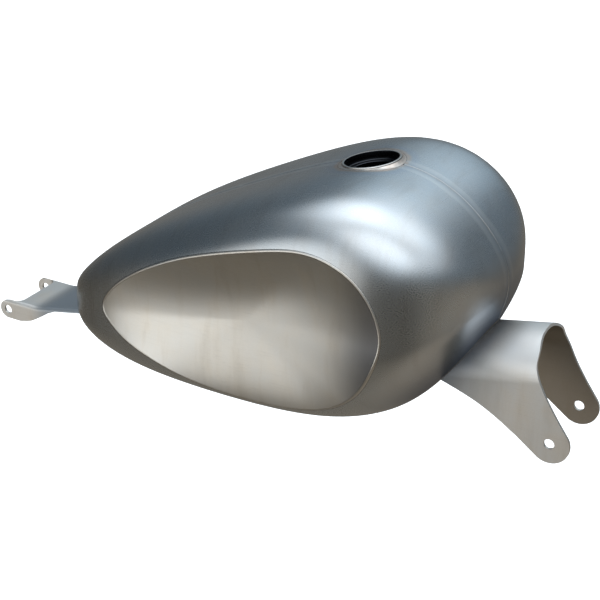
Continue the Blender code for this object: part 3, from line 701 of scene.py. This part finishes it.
def build_filler_neck():
    """Turned neck: rolled lip, straight bore, a step that seats the cap, and the throat."""
    o, b, t, d, r = FILLER_OUTER, FILLER_BORE, FILLER_THROAT, FILLER_DEPTH, FILLER_LIP_ROUND
    lip = arc((o - r, FILLER_LIP - r), r, 90.0, 0.0, 6)
    outer = [(o, -2.0), (o, -6.0), (o, -d + 0.4), (o - 0.4, -d), (t + 0.4, -d), (t, -d + 0.4)]
    seat = -FILLER_STEP
    step = [(t, seat - 0.5), (t + 0.5, seat), (b - 0.6, seat), (b, seat + 0.6)]
    bore = [(b, -4.0), (b, FILLER_LIP - r)] + arc((b + r, FILLER_LIP - r), r, 165.0, 90.0, 5)
    return turned("neck_ring", *filler_frame(), lip + outer + step + bore, NECK_STEPS)


def build_filler_weld():
    """Ground fillet between the neck and the crown, slightly uneven."""
    centre, axis = filler_frame()
    inner, outer = FILLER_OUTER + GAP, FILLER_OUTER + GAP + FILLER_BEAD
    radii = np.linspace(inner, outer, 7)
    share = (radii - inner) / (outer - inner)
    rings = []
    for i, out in enumerate(directions(axis, BEAD_STEPS)):
        heights = []
        for radius in radii:
            h = 0.0
            for _ in range(8):
                p = centre + out * radius + axis * h
                h += (float(crown_z(p[0], p[1])) - p[2]) * axis[2]
            heights.append(h)
        inner_top = max(heights[0], -0.5) + 0.1
        ripple = 0.06 * math.sin(i * 0.9) + 0.05 * math.sin(i * 0.37 + 1.0)
        settled = 1 - (1 - share) ** 1.6
        top = inner_top * (1 - share) ** 1.6 + np.array(heights) * settled + ripple * np.sin(share * math.pi)
        low = min(heights[0], heights[-1]) - SHEET
        profile = [*zip(radii, top), (outer, low), (inner, low)]
        rings.append([centre + out * r + axis * h for r, h in profile])
    return loft("neck_bead", rings, True)


def build_bung():
    """Threaded boss for the fuel tap."""
    o, b, top, low = BUNG_OUTER, BUNG_BORE, BUNG_OUTSIDE, -BUNG_INSIDE
    profile = [(o - 1.0, top), (o - 0.3, top - 0.3), (o, top - 1.0)]
    profile += [(o, low + 0.4), (o - 0.4, low), (b + 0.8, low)]
    z = low + 0.8
    while z < top - 1.6:
        profile += [(b + THREAD_DEPTH, z), (b, z + THREAD_PITCH / 2.0)]
        z += THREAD_PITCH
    profile += [(b + 0.3, top - 1.1), (b + 1.2, top)]
    return turned("tap_boss", *bung_frame(), profile, 96)


def build_bung_weld():
    """Lumpy fillet round the boss."""
    centre, axis = bung_frame()
    inner, outer, low = BUNG_OUTER + GAP, BUNG_OUTER + GAP + BUNG_BEAD, -SHEET - 0.6
    rings = []
    for i, out in enumerate(directions(axis, 144)):
        lump = 0.12 * abs(math.sin(i * 0.55))
        top = [(inner, 1.5 + lump), (inner + 0.8, 1.35 + lump), (inner + 1.6, 0.95 + lump), (outer, 0.4)]
        rings.append([centre + out * r + axis * h for r, h in top + [(outer, low), (inner, low)]])
    return loft("boss_bead", rings, True)


# ---------------- shader graph
SPECK_BROWN = (0.16, 0.13, 0.11, 1.0)
STRAW = (0.66, 0.50, 0.40, 1.0)
FAINT_BLUE = (0.42, 0.47, 0.58, 1.0)
SEAM_PAINTED_SHADE = (0.40, 0.44, 0.47, 1.0)
SEAM_PAINTED_HIGHLIGHT = (0.66, 0.68, 0.68, 1.0)
SADDLE_PAINTED_SHADE = (0.20, 0.22, 0.24, 1.0)
SADDLE_PAINTED_HIGHLIGHT = (0.86, 0.87, 0.87, 1.0)
TAIL_PLATE_PAINTED_SHADE = (0.27, 0.31, 0.35, 1.0)
INNER_FACE_PAINTED_SHADE = (0.215, 0.180, 0.135, 1.0)
DISH_FRONT_PAINTED_SHADE = (0.20, 0.215, 0.25, 1.0)
BORE_BLACK = (0.020, 0.024, 0.032, 1.0)
GRAIN_STRENGTH = 0.20
GRAIN_HEIGHT = 0.00025  # metres


class Wire:
    """One socket in a node tree. Arithmetic on it adds Math nodes, or Vector Math nodes for a vector."""

    def __init__(self, tree, socket=None):
        self.tree, self.socket = tree, socket

    def node(self, kind, settings=None, inputs=None, out=0):
        """Any other node: type, settings, inputs by name or number, and the output to carry on from."""
        made = self.tree.nodes.new(kind)
        for key, value in (settings or {}).items():
            setattr(made, key, value)
        for key, value in (inputs or {}).items():
            self.feed(made.inputs[key], value)
        return Wire(self.tree, made.outputs[out])

    def feed(self, target, value):
        if isinstance(value, Wire):
            self.tree.links.new(value.socket, target)
        else:
            target.default_value = value

    def is_vector(self, *others):
        kinds = [w.socket.type for w in (self,) + others if isinstance(w, Wire)]
        return 'VECTOR' in kinds or 'RGBA' in kinds or any(isinstance(o, tuple) for o in others)

    def maths(self, operation, *others):
        if self.is_vector(*others[:1]):
            return self.vector(operation, *others)
        return self.node('ShaderNodeMath', {"operation": operation}, dict(enumerate((self,) + others)))

    def vector(self, operation, *others, out=0):
        inputs = [self] + [o if isinstance(o, (Wire, tuple)) else (o, o, o) for o in others]
        return self.node('ShaderNodeVectorMath', {"operation": operation}, dict(enumerate(inputs)), out)

    def swapped(self, operation, other):
        if self.is_vector(other):
            first = other if isinstance(other, tuple) else (other, other, other)
            return self.node('ShaderNodeVectorMath', {"operation": operation}, {0: first, 1: self})
        return self.node('ShaderNodeMath', {"operation": operation}, {0: other, 1: self})

    def __add__(self, other):
        return self.maths('ADD', other)

    __radd__ = __add__

    def __sub__(self, other):
        return self.maths('SUBTRACT', other)

    def __rsub__(self, other):
        return self.swapped('SUBTRACT', other)

    def __mul__(self, other):
        return self.maths('MULTIPLY', other)

    __rmul__ = __mul__

    def __truediv__(self, other):
        return self.maths('DIVIDE', other)

    def __rtruediv__(self, other):
        return self.swapped('DIVIDE', other)

    def __pow__(self, other):
        return self.node('ShaderNodeMath', {"operation": 'POWER'}, {0: self, 1: other})

    def length(self):
        return self.vector('LENGTH', out=1)

    def dot(self, other):
        return self.vector('DOT_PRODUCT', other, out=1)

    def part(self, index):
        """One component of a vector."""
        return self.node('ShaderNodeSeparateXYZ', None, {0: self}, index)

    def ramp(self, low, high, start=0.0, end=1.0):
        """Smoothly from start to end while this value goes from low to high."""
        inputs = {"Value": self, "From Min": low, "From Max": high, "To Min": start, "To Max": end}
        return self.node('ShaderNodeMapRange', {"interpolation_type": 'SMOOTHSTEP'}, inputs)

    def band(self, centre, width):
        """1 at the centre, fading to 0 at the given distance on either side."""
        return (self - centre).maths('ABSOLUTE').ramp(0.0, width, 1.0, 0.0)

    def mix(self, first, second):
        """A colour between two others, with this value as the factor."""
        return self.node('ShaderNodeMix', {"data_type": 'RGBA'}, {0: self, 6: first, 7: second}, 2)

    def tint(self, colour, factor):
        """Mixed towards a colour by a factor."""
        return factor.mix(self, colour)

    def stretched(self, scale, turn):
        return self.node('ShaderNodeMapping', None, {"Vector": self, "Rotation": turn, "Scale": scale})

    def noise(self, scale, detail=2.0, rough=0.5, warp=0.0):
        inputs = {"Vector": self, "Scale": scale, "Detail": detail, "Roughness": rough, "Distortion": warp}
        return self.node('ShaderNodeTexNoise', None, inputs)

    def ragged(self, scale, width, detail=2.0):
        """Uneven offset for the edge of a mark, of a given width in all."""
        return (self.noise(scale, detail) - 0.5) * width


def new_material(name):
    """A material, a wire to start its graph from, and its shader."""
    mat = bpy.data.materials.new(name)
    mat.use_nodes = True
    tree = mat.node_tree
    tree.nodes.clear()
    shader = tree.nodes.new('ShaderNodeBsdfPrincipled')
    output = tree.nodes.new('ShaderNodeOutputMaterial')
    tree.links.new(shader.outputs[0], output.inputs[0])
    return mat, Wire(tree), shader


def raw_steel(name, finish, base, warm, cloud, rough, spread, brushed, scratch, heat=None, marks=None):
    """Bare sheet steel: cool and warm clouds, a fine grain, long sanding scratches and small dark specks.

    cloud is the share of the warm colour, rough the middle roughness, spread its change over the sheet,
    brushed the turn of the scratches and scratch their strength; heat and marks add what one piece has
    of its own, together with painted shade and highlights.
    """
    mat, start, shader = new_material(name)
    place = start.node('ShaderNodeTexCoord', out=3)
    clouds = place.noise(15.0, 5.0, 0.55, 0.6)
    patches = place.noise(46.0, 4.0, 0.6, 0.3)
    streaks = place.stretched((60.0, 18.0, 9.0), (0.3, 0.0, 0.4)).noise(1.0, 4.0, 0.6, 0.4)
    grain = place.noise(2100.0, 2.0, 0.6)
    crossed = (brushed[0], brushed[1], brushed[2] + 0.7)
    along = place.stretched((7.0, 1150.0, 1150.0), brushed).noise(1.0)
    across = place.stretched((1000.0, 14.0, 1000.0), crossed).noise(1.0)
    lines = along.ramp(0.50, 0.74) * 0.6 + across.ramp(0.54, 0.76) * 0.5
    lines = lines * clouds.ramp(0.35, 0.62, 0.25, 1.0)
    cells = start.node('ShaderNodeTexVoronoi', None, {"Vector": place, "Scale": 230.0})
    specks = cells.ramp(0.03, 0.11, 1.0, 0.0) * patches.ramp(0.5, 0.62)
    share = clouds.ramp(0.34, 0.66) * cloud + patches.ramp(0.36, 0.68) * (cloud * 0.5)
    share = share + streaks.ramp(0.38, 0.66) * (cloud * 0.6)
    brightness = 1.03 - lines * (0.10 * finish.scratches * scratch) - grain.ramp(0.4, 0.7) * 0.05
    brightness = brightness - streaks.ramp(0.45, 0.75) * 0.10
    colour = (share.mix(base, warm) * brightness).tint(SPECK_BROWN, specks * (0.45 * finish.specks))
    roughness = rough + (clouds - 0.5) * spread + (patches - 0.5) * (spread * 0.8)
    roughness = roughness + lines * (0.05 * scratch) + (grain - 0.5) * 0.05
    relief = grain * 0.22 + lines * (0.22 * scratch * finish.scratches) + clouds * 0.8
    if heat:
        colour, roughness = heat(place, colour, roughness, finish)
    if marks:
        colour, roughness, relief = marks(place, colour, roughness, relief, finish)
    height = {"Height": relief, "Strength": GRAIN_STRENGTH * finish.relief, "Distance": GRAIN_HEIGHT}
    start.feed(shader.inputs["Base Color"], colour)
    start.feed(shader.inputs["Roughness"], roughness)
    start.feed(shader.inputs["Normal"], start.node('ShaderNodeBump', None, height))
    shader.inputs["Metallic"].default_value = 1.0
    return mat


# ---------------- settings
def strength(name, description, default, highest):
    return bpy.props.FloatProperty(
        name=name, description=description, default=default, min=0.0, max=highest, subtype='FACTOR')


def steel_colour(name, description, default):
    return bpy.props.FloatVectorProperty(
        name=name, description=description, default=default, size=3, min=0.0, max=1.0, subtype='COLOR')


class FuelTankFinish(bpy.types.PropertyGroup):
    """How the bare steel looks."""
    scratches: strength("Scratches", "Strength of the sanding scratches", 1.0, 3.0)
    specks: strength("Specks", "Strength of the small dark specks", 0.6, 2.0)
    relief: strength("Relief", "Depth of the grain and of the small waves in the sheet", 1.0, 3.0)
    # Heat tint also scales the painted contact shade by the saddle and the painted shade at the front of the
    # dishes.
    heat: strength("Heat tint", "Strength of the colours beside the welds", 1.0, 2.0)
    edge_round: bpy.props.FloatProperty(
        name="Edge rounding", description="Rounding of the cut edges of the brackets",
        default=0.00035, min=0.00005, max=0.0010, precision=5, unit='LENGTH')
    shell_cool: steel_colour("Shell, cool", "Main colour of the pressed shells", (0.50, 0.545, 0.58))
    shell_warm: steel_colour("Shell, warm", "Colour of the clouds on the shells", (0.56, 0.55, 0.53))
    dish_cool: steel_colour("Dish, cool", "Main colour of the dished panels", (0.55, 0.555, 0.54))
    dish_warm: steel_colour("Dish, warm", "Colour of the clouds on the dished panels", (0.60, 0.57, 0.51))
    bracket_cool: steel_colour("Bracket, cool", "Main colour of the brackets", (0.58, 0.585, 0.575))
    bracket_warm: steel_colour("Bracket, warm", "Colour of the clouds on the brackets", (0.60, 0.565, 0.51))
    # blue-black that is partly heat tint and partly painted contact shade
    heat_tint_and_contact_shade: steel_colour("Heat blue", "Blue-black colour beside the front saddle", (0.075, 0.095, 0.140))


def angle(name, description, degrees):
    return bpy.props.FloatProperty(
        name=name, description=description, default=math.radians(degrees), unit='ROTATION')


class FuelTankStudio(bpy.types.PropertyGroup):
    """Light, floor and camera."""
    fill: strength("Fill", "Brightness of the surroundings", 1.0, 5.0)
    floor_drop: bpy.props.FloatProperty(
        name="Floor drop", description="Depth of the floor below the front bolt axis",
        default=0.45, min=0.05, unit='LENGTH')
    camera_distance: bpy.props.FloatProperty(
        name="Camera distance", description="From the camera to the middle of the tank",
        default=1.4806, unit='LENGTH')
    focal_length: bpy.props.FloatProperty(
        name="Focal length", description="Lens, in mm for a 36 mm wide sensor", default=84.24)
    azimuth: angle("Azimuth", "Turn of the camera towards the front of the tank", 30.02)
    elevation: angle("Elevation", "Height of the camera above the horizon", 26.41)


# ---------------- finishes (positions in metres)
SADDLE_ON = (-0.30, -0.20)  # marks of the saddle fade in over this stretch
PLATE_OFF = (-0.40, -0.30)  # and marks of the rear plate fade out over this one


def opaque(colour):
    return (*colour, 1.0)


def bend_centre(along):
    """Height of the line round which the saddle and the tunnel are bent."""
    return along * ROOF_SLOPE + (ROOF_AT_BOLT - FRONT_SPAN / 2.0) * MM


def filler_heat(place, colour, roughness, finish):
    """Ground bright band, straw and rose tint, then a faint blue ring round the filler weld."""
    offset = place - tuple(float(c) * MM for c in filler_frame()[0])
    away = offset.length() + place.ragged(70.0, 0.005, 3.0)
    colour = colour.tint(STRAW, away.band(0.0355, 0.0050) * (0.75 * finish.heat))
    colour = colour.tint(FAINT_BLUE, away.band(0.0430, 0.0070) * (0.30 * finish.heat))
    return colour, roughness + away.ramp(0.034, 0.046, -0.05, 0.0)


def seam_marks(place, colour, roughness, relief, finish):
    """Painted shade and a painted highlight band along the lightly sanded centre seam, and blue-black skin
    beside the front saddle.
    """
    beside = (place.part(1) + place.ragged(35.0, 0.003)).maths('ABSOLUTE')
    # painted shade on the seam crease, then a painted highlight band on either side of it
    colour = colour.tint(SEAM_PAINTED_SHADE, beside.ramp(0.001, 0.005, 1.0, 0.0) * 0.5)
    colour = colour.tint(SEAM_PAINTED_HIGHLIGHT, beside.band(0.0090, 0.0045) * 0.45)
    near_saddle = saddle_nearness(place)
    # blue-black on the skin by the saddle: partly heat tint, partly painted contact shade
    colour = colour.tint(opaque(finish.heat_tint_and_contact_shade), near_saddle * (0.88 * finish.heat))
    roughness = roughness + beside.ramp(0.004, 0.013, 1.0, 0.0) * 0.06 + near_saddle * 0.16
    return colour, roughness, relief + beside.ramp(0.0, 0.007) * 0.9


def saddle_nearness(place):
    """1 where the skin meets the front saddle, fading out over some 80 mm."""
    along, across, height = (place.part(k) for k in range(3))
    above = (height - bend_centre(along)).maths('MAXIMUM', 0.0)
    away = (across * across + above * above) ** 0.5 + place.ragged(40.0, 0.006)
    return away.ramp(0.052, 0.135, 1.0, 0.0) * along.ramp(-0.190, -0.125)


def plate_marks(place, colour, roughness, relief, finish):
    """Heat tint with painted contact shade by the skin, painted shade and highlight on the saddle, painted
    shade on the tail plate and inner faces.
    """
    along, across, height = (place.part(k) for k in range(3))
    on_saddle = along.ramp(*SADDLE_ON)
    away = along - height * 0.55 + 0.1375 + place.ragged(45.0, 0.006)
    near = away.ramp(-0.004, 0.030, 1.0, 0.0) * on_saddle
    # blue-black on the saddle along the skin: partly heat tint, partly painted contact shade
    colour = colour.tint(opaque(finish.heat_tint_and_contact_shade), near * (0.85 * finish.heat))
    # painted shade on the lower saddle near the skin, and a painted highlight on its top
    low = height.ramp(0.062, 0.078, 1.0, 0.0)
    colour = colour.tint(SADDLE_PAINTED_SHADE, away.ramp(0.0, 0.085, 1.0, 0.0) * low * on_saddle * 0.8)
    colour = colour.tint(SADDLE_PAINTED_HIGHLIGHT, (1.0 - low) * on_saddle * away.ramp(0.020, 0.045) * 0.6)
    # painted shade on the rear plate under the tail, stopping short of its ears
    colour = colour.tint(TAIL_PLATE_PAINTED_SHADE, along.ramp(-0.655, -0.622) * along.ramp(*PLATE_OFF, 1.0, 0.0) * 0.85)
    # painted shade on the inner faces of the saddle, the faces turned towards the backbone
    centre = height - bend_centre(along).maths('MINIMUM', height)
    facing = place.node('ShaderNodeNewGeometry', out=1)
    inner_face_shade = (across * facing.part(1) + centre * facing.part(2)).ramp(-0.012, 0.0, 1.0, 0.0)
    colour = colour.tint(INNER_FACE_PAINTED_SHADE, inner_face_shade * on_saddle * 0.85)
    return colour, roughness, relief


def dish_marks(place, colour, roughness, relief, finish):
    """Painted blue-grey shade towards the front end of the dish."""
    front = place.part(0) + place.ragged(30.0, 0.012, 3.0) - (place.part(2) - 0.080).maths('ABSOLUTE') * 0.10
    # painted shade, scaled by the heat tint setting
    colour = colour.tint(DISH_FRONT_PAINTED_SHADE, front.ramp(-0.215, -0.150) * (0.78 * finish.heat))
    return colour, roughness, relief


def neck_shadow(place, colour, roughness, relief, finish):
    """The bore below the lip is blackened."""
    centre, axis = filler_frame()
    offset = place - tuple(float(c) * MM for c in centre)
    height = offset.dot(tuple(float(c) for c in axis))
    radius = (offset.dot(offset) - height * height) ** 0.5
    inside = radius.ramp((FILLER_BORE + 0.1) * MM, (FILLER_BORE + 0.7) * MM, 1.0, 0.0)
    return colour.tint(BORE_BLACK, inside * 0.97), roughness - inside * 0.06, relief


def skin_finish(finish):
    base, warm = opaque(finish.shell_cool), opaque(finish.shell_warm)
    return raw_steel("pressed_steel", finish, base, warm, cloud=0.25, rough=0.27, spread=0.035,
                     brushed=(0.0, -0.2, 0.3), scratch=0.9, heat=filler_heat, marks=seam_marks)


def dish_finish(finish):
    base, warm = opaque(finish.dish_cool), opaque(finish.dish_warm)
    return raw_steel("dished_steel", finish, base, warm, cloud=0.4, rough=0.36, spread=0.035,
                     brushed=(0.0, 0.25, 0.1), scratch=0.8, marks=dish_marks)


def plate_finish(finish):
    base, warm = opaque(finish.bracket_cool), opaque(finish.bracket_warm)
    return raw_steel("plate_steel", finish, base, warm, cloud=0.5, rough=0.50, spread=0.06,
                     brushed=(0.2, 0.0, 0.5), scratch=0.9, marks=plate_marks)


def tunnel_finish(finish):
    return raw_steel("tunnel_steel", finish, (0.40, 0.41, 0.41, 1.0), (0.44, 0.40, 0.35, 1.0),
                     cloud=0.5, rough=0.45, spread=0.10, brushed=(0.0, 0.1, 0.0), scratch=0.6)


def neck_finish(finish, name, marks=None):
    return raw_steel(name, finish, (0.60, 0.60, 0.59, 1.0), (0.62, 0.57, 0.50, 1.0),
                     cloud=0.3, rough=0.28, spread=0.06, brushed=(0.0, 1.4, 0.0), scratch=0.7, marks=marks)


def ground_bead(finish, name, base, warm, rough):
    return raw_steel(name, finish, base, warm, cloud=0.5, rough=rough, spread=0.12,
                     brushed=(0.4, 0.0, 0.9), scratch=1.6)


def rough_bead(finish, name):
    return raw_steel(name, finish, (0.30, 0.30, 0.31, 1.0), (0.34, 0.28, 0.22, 1.0),
                     cloud=0.6, rough=0.48, spread=0.14, brushed=(0.5, 0.0, 0.2), scratch=0.8)


# ---------------- operators
def need(*names):
    missing = [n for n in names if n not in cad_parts]
    if missing:
        raise RuntimeError("missing from the frame: " + ", ".join(missing))


SKIN = {}


def skin_blank():
    """The uncut skin, made once and kept for the pieces cut from it."""
    if "mesh" not in SKIN:
        SKIN["mesh"] = skin_solid()
    return SKIN["mesh"]


class TankOperator:
    """What the operators that make pieces share; nodes are the frame's nodes that the pieces stand for."""
    bl_options = {'REGISTER', 'UNDO'}

    def execute(self, context):
        need(*self.nodes)
        self.build(context.scene.fuel_tank_finish)
        return {'FINISHED'}

    def settle_pair(self, maker, mat, slot_name, sharp=30.0, sides=(-1, 1)):
        for side, node in zip(sides, self.nodes):
            settle(maker(side), mat, [node], sharp)


class FUELTANK_OT_shells(TankOperator, bpy.types.Operator):
    """Pressed right and left halves of the tank"""
    bl_idname = "fuel_tank.shells"
    bl_label = "Shells"
    nodes = ("right_shell", "left_shell")

    def build(self, finish):
        self.settle_pair(lambda side: build_shell(skin_blank(), side), skin_finish(finish), "skin", 0.0)


class FUELTANK_OT_dishes(TankOperator, bpy.types.Operator):
    """Dished side panels"""
    bl_idname = "fuel_tank.dishes"
    bl_label = "Dished panels"
    nodes = ("right_dish", "left_dish")

    def build(self, finish):
        self.settle_pair(build_dish, dish_finish(finish), "panel")


class FUELTANK_OT_dish_beads(TankOperator, bpy.types.Operator):
    """Ground weld bead round each dished panel"""
    bl_idname = "fuel_tank.dish_beads"
    bl_label = "Dish weld beads"
    nodes = ("right_dish_weld", "left_dish_weld")

    def build(self, finish):
        mat = ground_bead(finish, "dish_bead_steel", (0.58, 0.59, 0.58, 1.0), (0.60, 0.56, 0.50, 1.0), 0.33)
        self.settle_pair(build_dish_weld, mat, "weld", 50.0)


class FUELTANK_OT_crown_beads(TankOperator, bpy.types.Operator):
    """Ground seam along the top, ahead of the filler and behind it"""
    bl_idname = "fuel_tank.crown_beads"
    bl_label = "Crown seam"
    nodes = ("crown_weld_front", "crown_weld_rear")

    def build(self, finish):
        # the bead is darker than the skin: painted shade of the seam crease
        base, warm = (0.44, 0.475, 0.50, 1.0), (0.47, 0.465, 0.45, 1.0)
        mat = ground_bead(finish, "crown_bead_steel", base, warm, 0.34)
        self.settle_pair(build_crown_weld, mat, "weld", 50.0, (True, False))


class FUELTANK_OT_bottom_beads(TankOperator, bpy.types.Operator):
    """Weld beads between the shells and the tunnel"""
    bl_idname = "fuel_tank.bottom_beads"
    bl_label = "Bottom weld beads"
    nodes = ("right_bottom_weld", "left_bottom_weld")

    def build(self, finish):
        mat = rough_bead(finish, "bottom_bead_steel")
        self.settle_pair(lambda side: build_bottom_weld(skin_blank(), side), mat, "weld")


class FUELTANK_OT_tunnel(TankOperator, bpy.types.Operator):
    """Tunnel sheet that straddles the backbone"""
    bl_idname = "fuel_tank.tunnel"
    bl_label = "Tunnel"
    nodes = ("tunnel",)

    def build(self, finish):
        settle(build_tunnel(), tunnel_finish(finish), self.nodes)


class FUELTANK_OT_brackets(TankOperator, bpy.types.Operator):
    """Front saddle bracket and rear fork bracket"""
    bl_idname = "fuel_tank.brackets"
    bl_label = "Brackets"
    nodes = ("front_bracket", "rear_bracket")

    def build(self, finish):
        mat = plate_finish(finish)
        for maker, node in zip((build_front_bracket, build_rear_bracket), self.nodes):
            settle(maker(finish.edge_round / MM), mat, [node], flat=True)


class FUELTANK_OT_bracket_beads(TankOperator, bpy.types.Operator):
    """Weld beads that hold the brackets"""
    bl_idname = "fuel_tank.bracket_beads"
    bl_label = "Bracket weld beads"
    nodes = ("front_bracket_weld_right", "front_bracket_weld_left",
             "rear_bracket_weld_right", "rear_bracket_weld_left")

    def build(self, finish):
        mat = rough_bead(finish, "bracket_bead_steel")
        makers = (build_front_bracket_weld,) * 2 + (build_rear_bracket_weld,) * 2
        for maker, side, node in zip(makers, (-1, 1, -1, 1), self.nodes):
            settle(maker(side), mat, [node])


class FUELTANK_OT_filler(TankOperator, bpy.types.Operator):
    """Filler neck and the bead round it"""
    bl_idname = "fuel_tank.filler"
    bl_label = "Filler"
    nodes = ("filler_neck", "filler_weld")

    def build(self, finish):
        mat = neck_finish(finish, "neck_steel", neck_shadow)
        settle(build_filler_neck(), mat, self.nodes[:1], 40.0)
        mat = ground_bead(finish, "neck_bead_steel", (0.62, 0.60, 0.57, 1.0), (0.62, 0.50, 0.42, 1.0), 0.30)
        settle(build_filler_weld(), mat, self.nodes[1:], 40.0)


class FUELTANK_OT_tap_boss(TankOperator, bpy.types.Operator):
    """Threaded boss for the fuel tap and its weld"""
    bl_idname = "fuel_tank.tap_boss"
    bl_label = "Tap boss"
    nodes = ("petcock_bung", "petcock_weld")

    def build(self, finish):
        settle(build_bung(), neck_finish(finish, "turned_steel"), self.nodes[:1])
        settle(build_bung_weld(), rough_bead(finish, "boss_bead_steel"), self.nodes[1:])


# ---------------- studio
# Soft lights and darks round the tank: azimuth, elevation, half-width and softness in degrees, then
# the strength, and for a light its colour.
LIGHTS = (
    (-42.0, 66.0, 32.0, 36.0, 0.98, (0.98, 1.00, 1.02)),      # large overhead sheet
    (-70.0, 33.0, 12.0, 28.0, 0.80, (0.96, 1.00, 1.04)),      # cool light on the near shoulder
    (75.0, 68.0, 10.0, 38.0, 0.72, (0.92, 1.00, 1.06)),       # overhead, far side
    (98.0, 28.0, 5.0, 24.0, 0.42, (0.80, 1.00, 1.14)),        # cool edge light from the far side
    (165.0, 70.0, 6.0, 28.0, 0.62, (0.95, 1.00, 1.05)),       # overhead, behind
    (-121.0, -6.0, 7.0, 26.0, 1.42, (1.01, 1.00, 0.98)),      # low reflector that the dish sees
    (30.0, -50.0, 8.0, 42.0, 0.13, (1.20, 1.00, 0.80)),       # warm bounce under the nose
)
DARKS = ((178.0, 4.0, 10.0, 44.0, 0.50), (-66.0, -22.0, 5.0, 32.0, 0.45))
ABOVE = (0.150, 0.185, 0.215)
BELOW = (0.205, 0.182, 0.150)
FLOOR_REACH = 14.0  # metres from its middle to its edges
LOOK_AT = (-0.300, 0.0, 0.100)  # metres; the camera is aimed a little off this point
AIM_LEFT, AIM_DOWN = 0.0025, 0.0336
SENSOR = 36.0


def build_world(studio):
    """Soft surroundings that the steel reflects; the camera sees plain white."""
    world = bpy.data.worlds.new("studio")
    world.use_nodes = True
    tree = world.node_tree
    tree.nodes.clear()
    out, start = tree.nodes.new('ShaderNodeOutputWorld'), Wire(tree)
    toward = start.node('ShaderNodeTexCoord', out=0).vector('NORMALIZE')

    def cap(azimuth, elevation, width, soft, strength):
        """A soft round patch in the surroundings."""
        a, e, inner, outer = (math.radians(v) for v in (azimuth, elevation, width, width + soft))
        axis = (math.cos(e) * math.cos(a), math.cos(e) * math.sin(a), math.sin(e))
        return toward.dot(axis).ramp(math.cos(outer), math.cos(inner), 0.0, strength)

    colour = toward.part(2).ramp(-0.35, 0.25).mix(opaque(BELOW), opaque(ABOVE))
    for dark in DARKS:
        colour = colour * (1.0 - cap(*dark))
    for *light, tone in LIGHTS:
        colour = colour + cap(*light) * tone
    seen = start.node('ShaderNodeLightPath', out=0)
    sky = start.node('ShaderNodeBackground', None, {"Color": colour, "Strength": studio.fill})
    plain = start.node('ShaderNodeBackground', None, {"Color": (1.0, 1.0, 1.0, 1.0), "Strength": 1.0})
    both = start.node('ShaderNodeMixShader', None, {0: seen, 1: sky, 2: plain})
    start.feed(out.inputs[0], both)
    bpy.context.scene.world = world


def build_floor(studio):
    """Plain pale floor, which the steel doesn't reflect."""
    mesh = bpy.data.meshes.new("floor")
    r, z = FLOOR_REACH, -studio.floor_drop
    mesh.from_pydata([(-r, -r, z), (r, -r, z), (r, r, z), (-r, r, z)], [], [(0, 1, 2, 3)])
    floor = bpy.data.objects.new("floor", mesh)
    bpy.context.scene.collection.objects.link(floor)
    mat, _, shader = new_material("pale_floor")
    shader.inputs["Base Color"].default_value = (0.9, 0.9, 0.9, 1.0)
    shader.inputs["Roughness"].default_value = 0.9
    shader.inputs["Emission Color"].default_value = (1.0, 1.0, 1.0, 1.0)
    shader.inputs["Emission Strength"].default_value = 0.6
    mesh.materials.append(mat)
    floor.visible_glossy = False
    floor.visible_diffuse = False


def build_camera(studio):
    a, e = studio.azimuth, studio.elevation
    back = Vector((math.sin(a) * math.cos(e), -math.cos(a) * math.cos(e), math.sin(e)))
    right = Vector((math.cos(a), math.sin(a), 0.0))
    up = Vector((-math.sin(a) * math.sin(e), math.cos(a) * math.sin(e), math.cos(e)))
    middle = Vector(LOOK_AT) - right * AIM_LEFT - up * AIM_DOWN
    data = bpy.data.cameras.new("camera")
    data.lens, data.sensor_width = studio.focal_length, SENSOR
    data.clip_start, data.clip_end = 0.05, 60.0
    camera = bpy.data.objects.new("camera", data)
    bpy.context.scene.collection.objects.link(camera)
    turn = Matrix((right, up, back)).transposed().to_4x4()
    camera.matrix_world = Matrix.Translation(middle + back * studio.camera_distance) @ turn
    bpy.context.scene.camera = camera


class FUELTANK_OT_studio(bpy.types.Operator):
    """Pale floor, soft light and the camera"""
    bl_idname = "fuel_tank.studio"
    bl_label = "Studio"

    def execute(self, context):
        studio = context.scene.fuel_tank_studio
        build_world(studio)
        build_floor(studio)
        build_camera(studio)
        context.scene.view_settings.view_transform = 'Standard'
        return {'FINISHED'}


STEPS = (
    FUELTANK_OT_shells, FUELTANK_OT_dishes, FUELTANK_OT_dish_beads, FUELTANK_OT_crown_beads,
    FUELTANK_OT_bottom_beads, FUELTANK_OT_tunnel, FUELTANK_OT_brackets, FUELTANK_OT_bracket_beads,
    FUELTANK_OT_filler, FUELTANK_OT_tap_boss, FUELTANK_OT_studio)


class FUELTANK_PT_panel(bpy.types.Panel):
    """Steps and settings of the tank"""
    bl_idname = "FUELTANK_PT_panel"
    bl_label = "Fuel Tank"
    bl_space_type = 'VIEW_3D'
    bl_region_type = 'UI'
    bl_category = "Fuel Tank"

    def draw(self, context):
        for step in STEPS:
            self.layout.operator(step.bl_idname)
        for group in (context.scene.fuel_tank_finish, context.scene.fuel_tank_studio):
            for name in group.__annotations__:
                self.layout.prop(group, name)


CLASSES = (FuelTankFinish, FuelTankStudio) + STEPS + (FUELTANK_PT_panel,)


def register():
    for cls in CLASSES:
        bpy.utils.register_class(cls)
    bpy.types.Scene.fuel_tank_finish = bpy.props.PointerProperty(type=FuelTankFinish)
    bpy.types.Scene.fuel_tank_studio = bpy.props.PointerProperty(type=FuelTankStudio)


def unregister():
    del bpy.types.Scene.fuel_tank_studio
    del bpy.types.Scene.fuel_tank_finish
    for cls in reversed(CLASSES):
        bpy.utils.unregister_class(cls)


def main():
    register()
    for step in STEPS:
        group, name = step.bl_idname.split(".")
        getattr(getattr(bpy.ops, group), name)()
    if "mesh" in SKIN:
        bpy.data.objects.remove(SKIN.pop("mesh"))


if __name__ == "__main__":
    main()
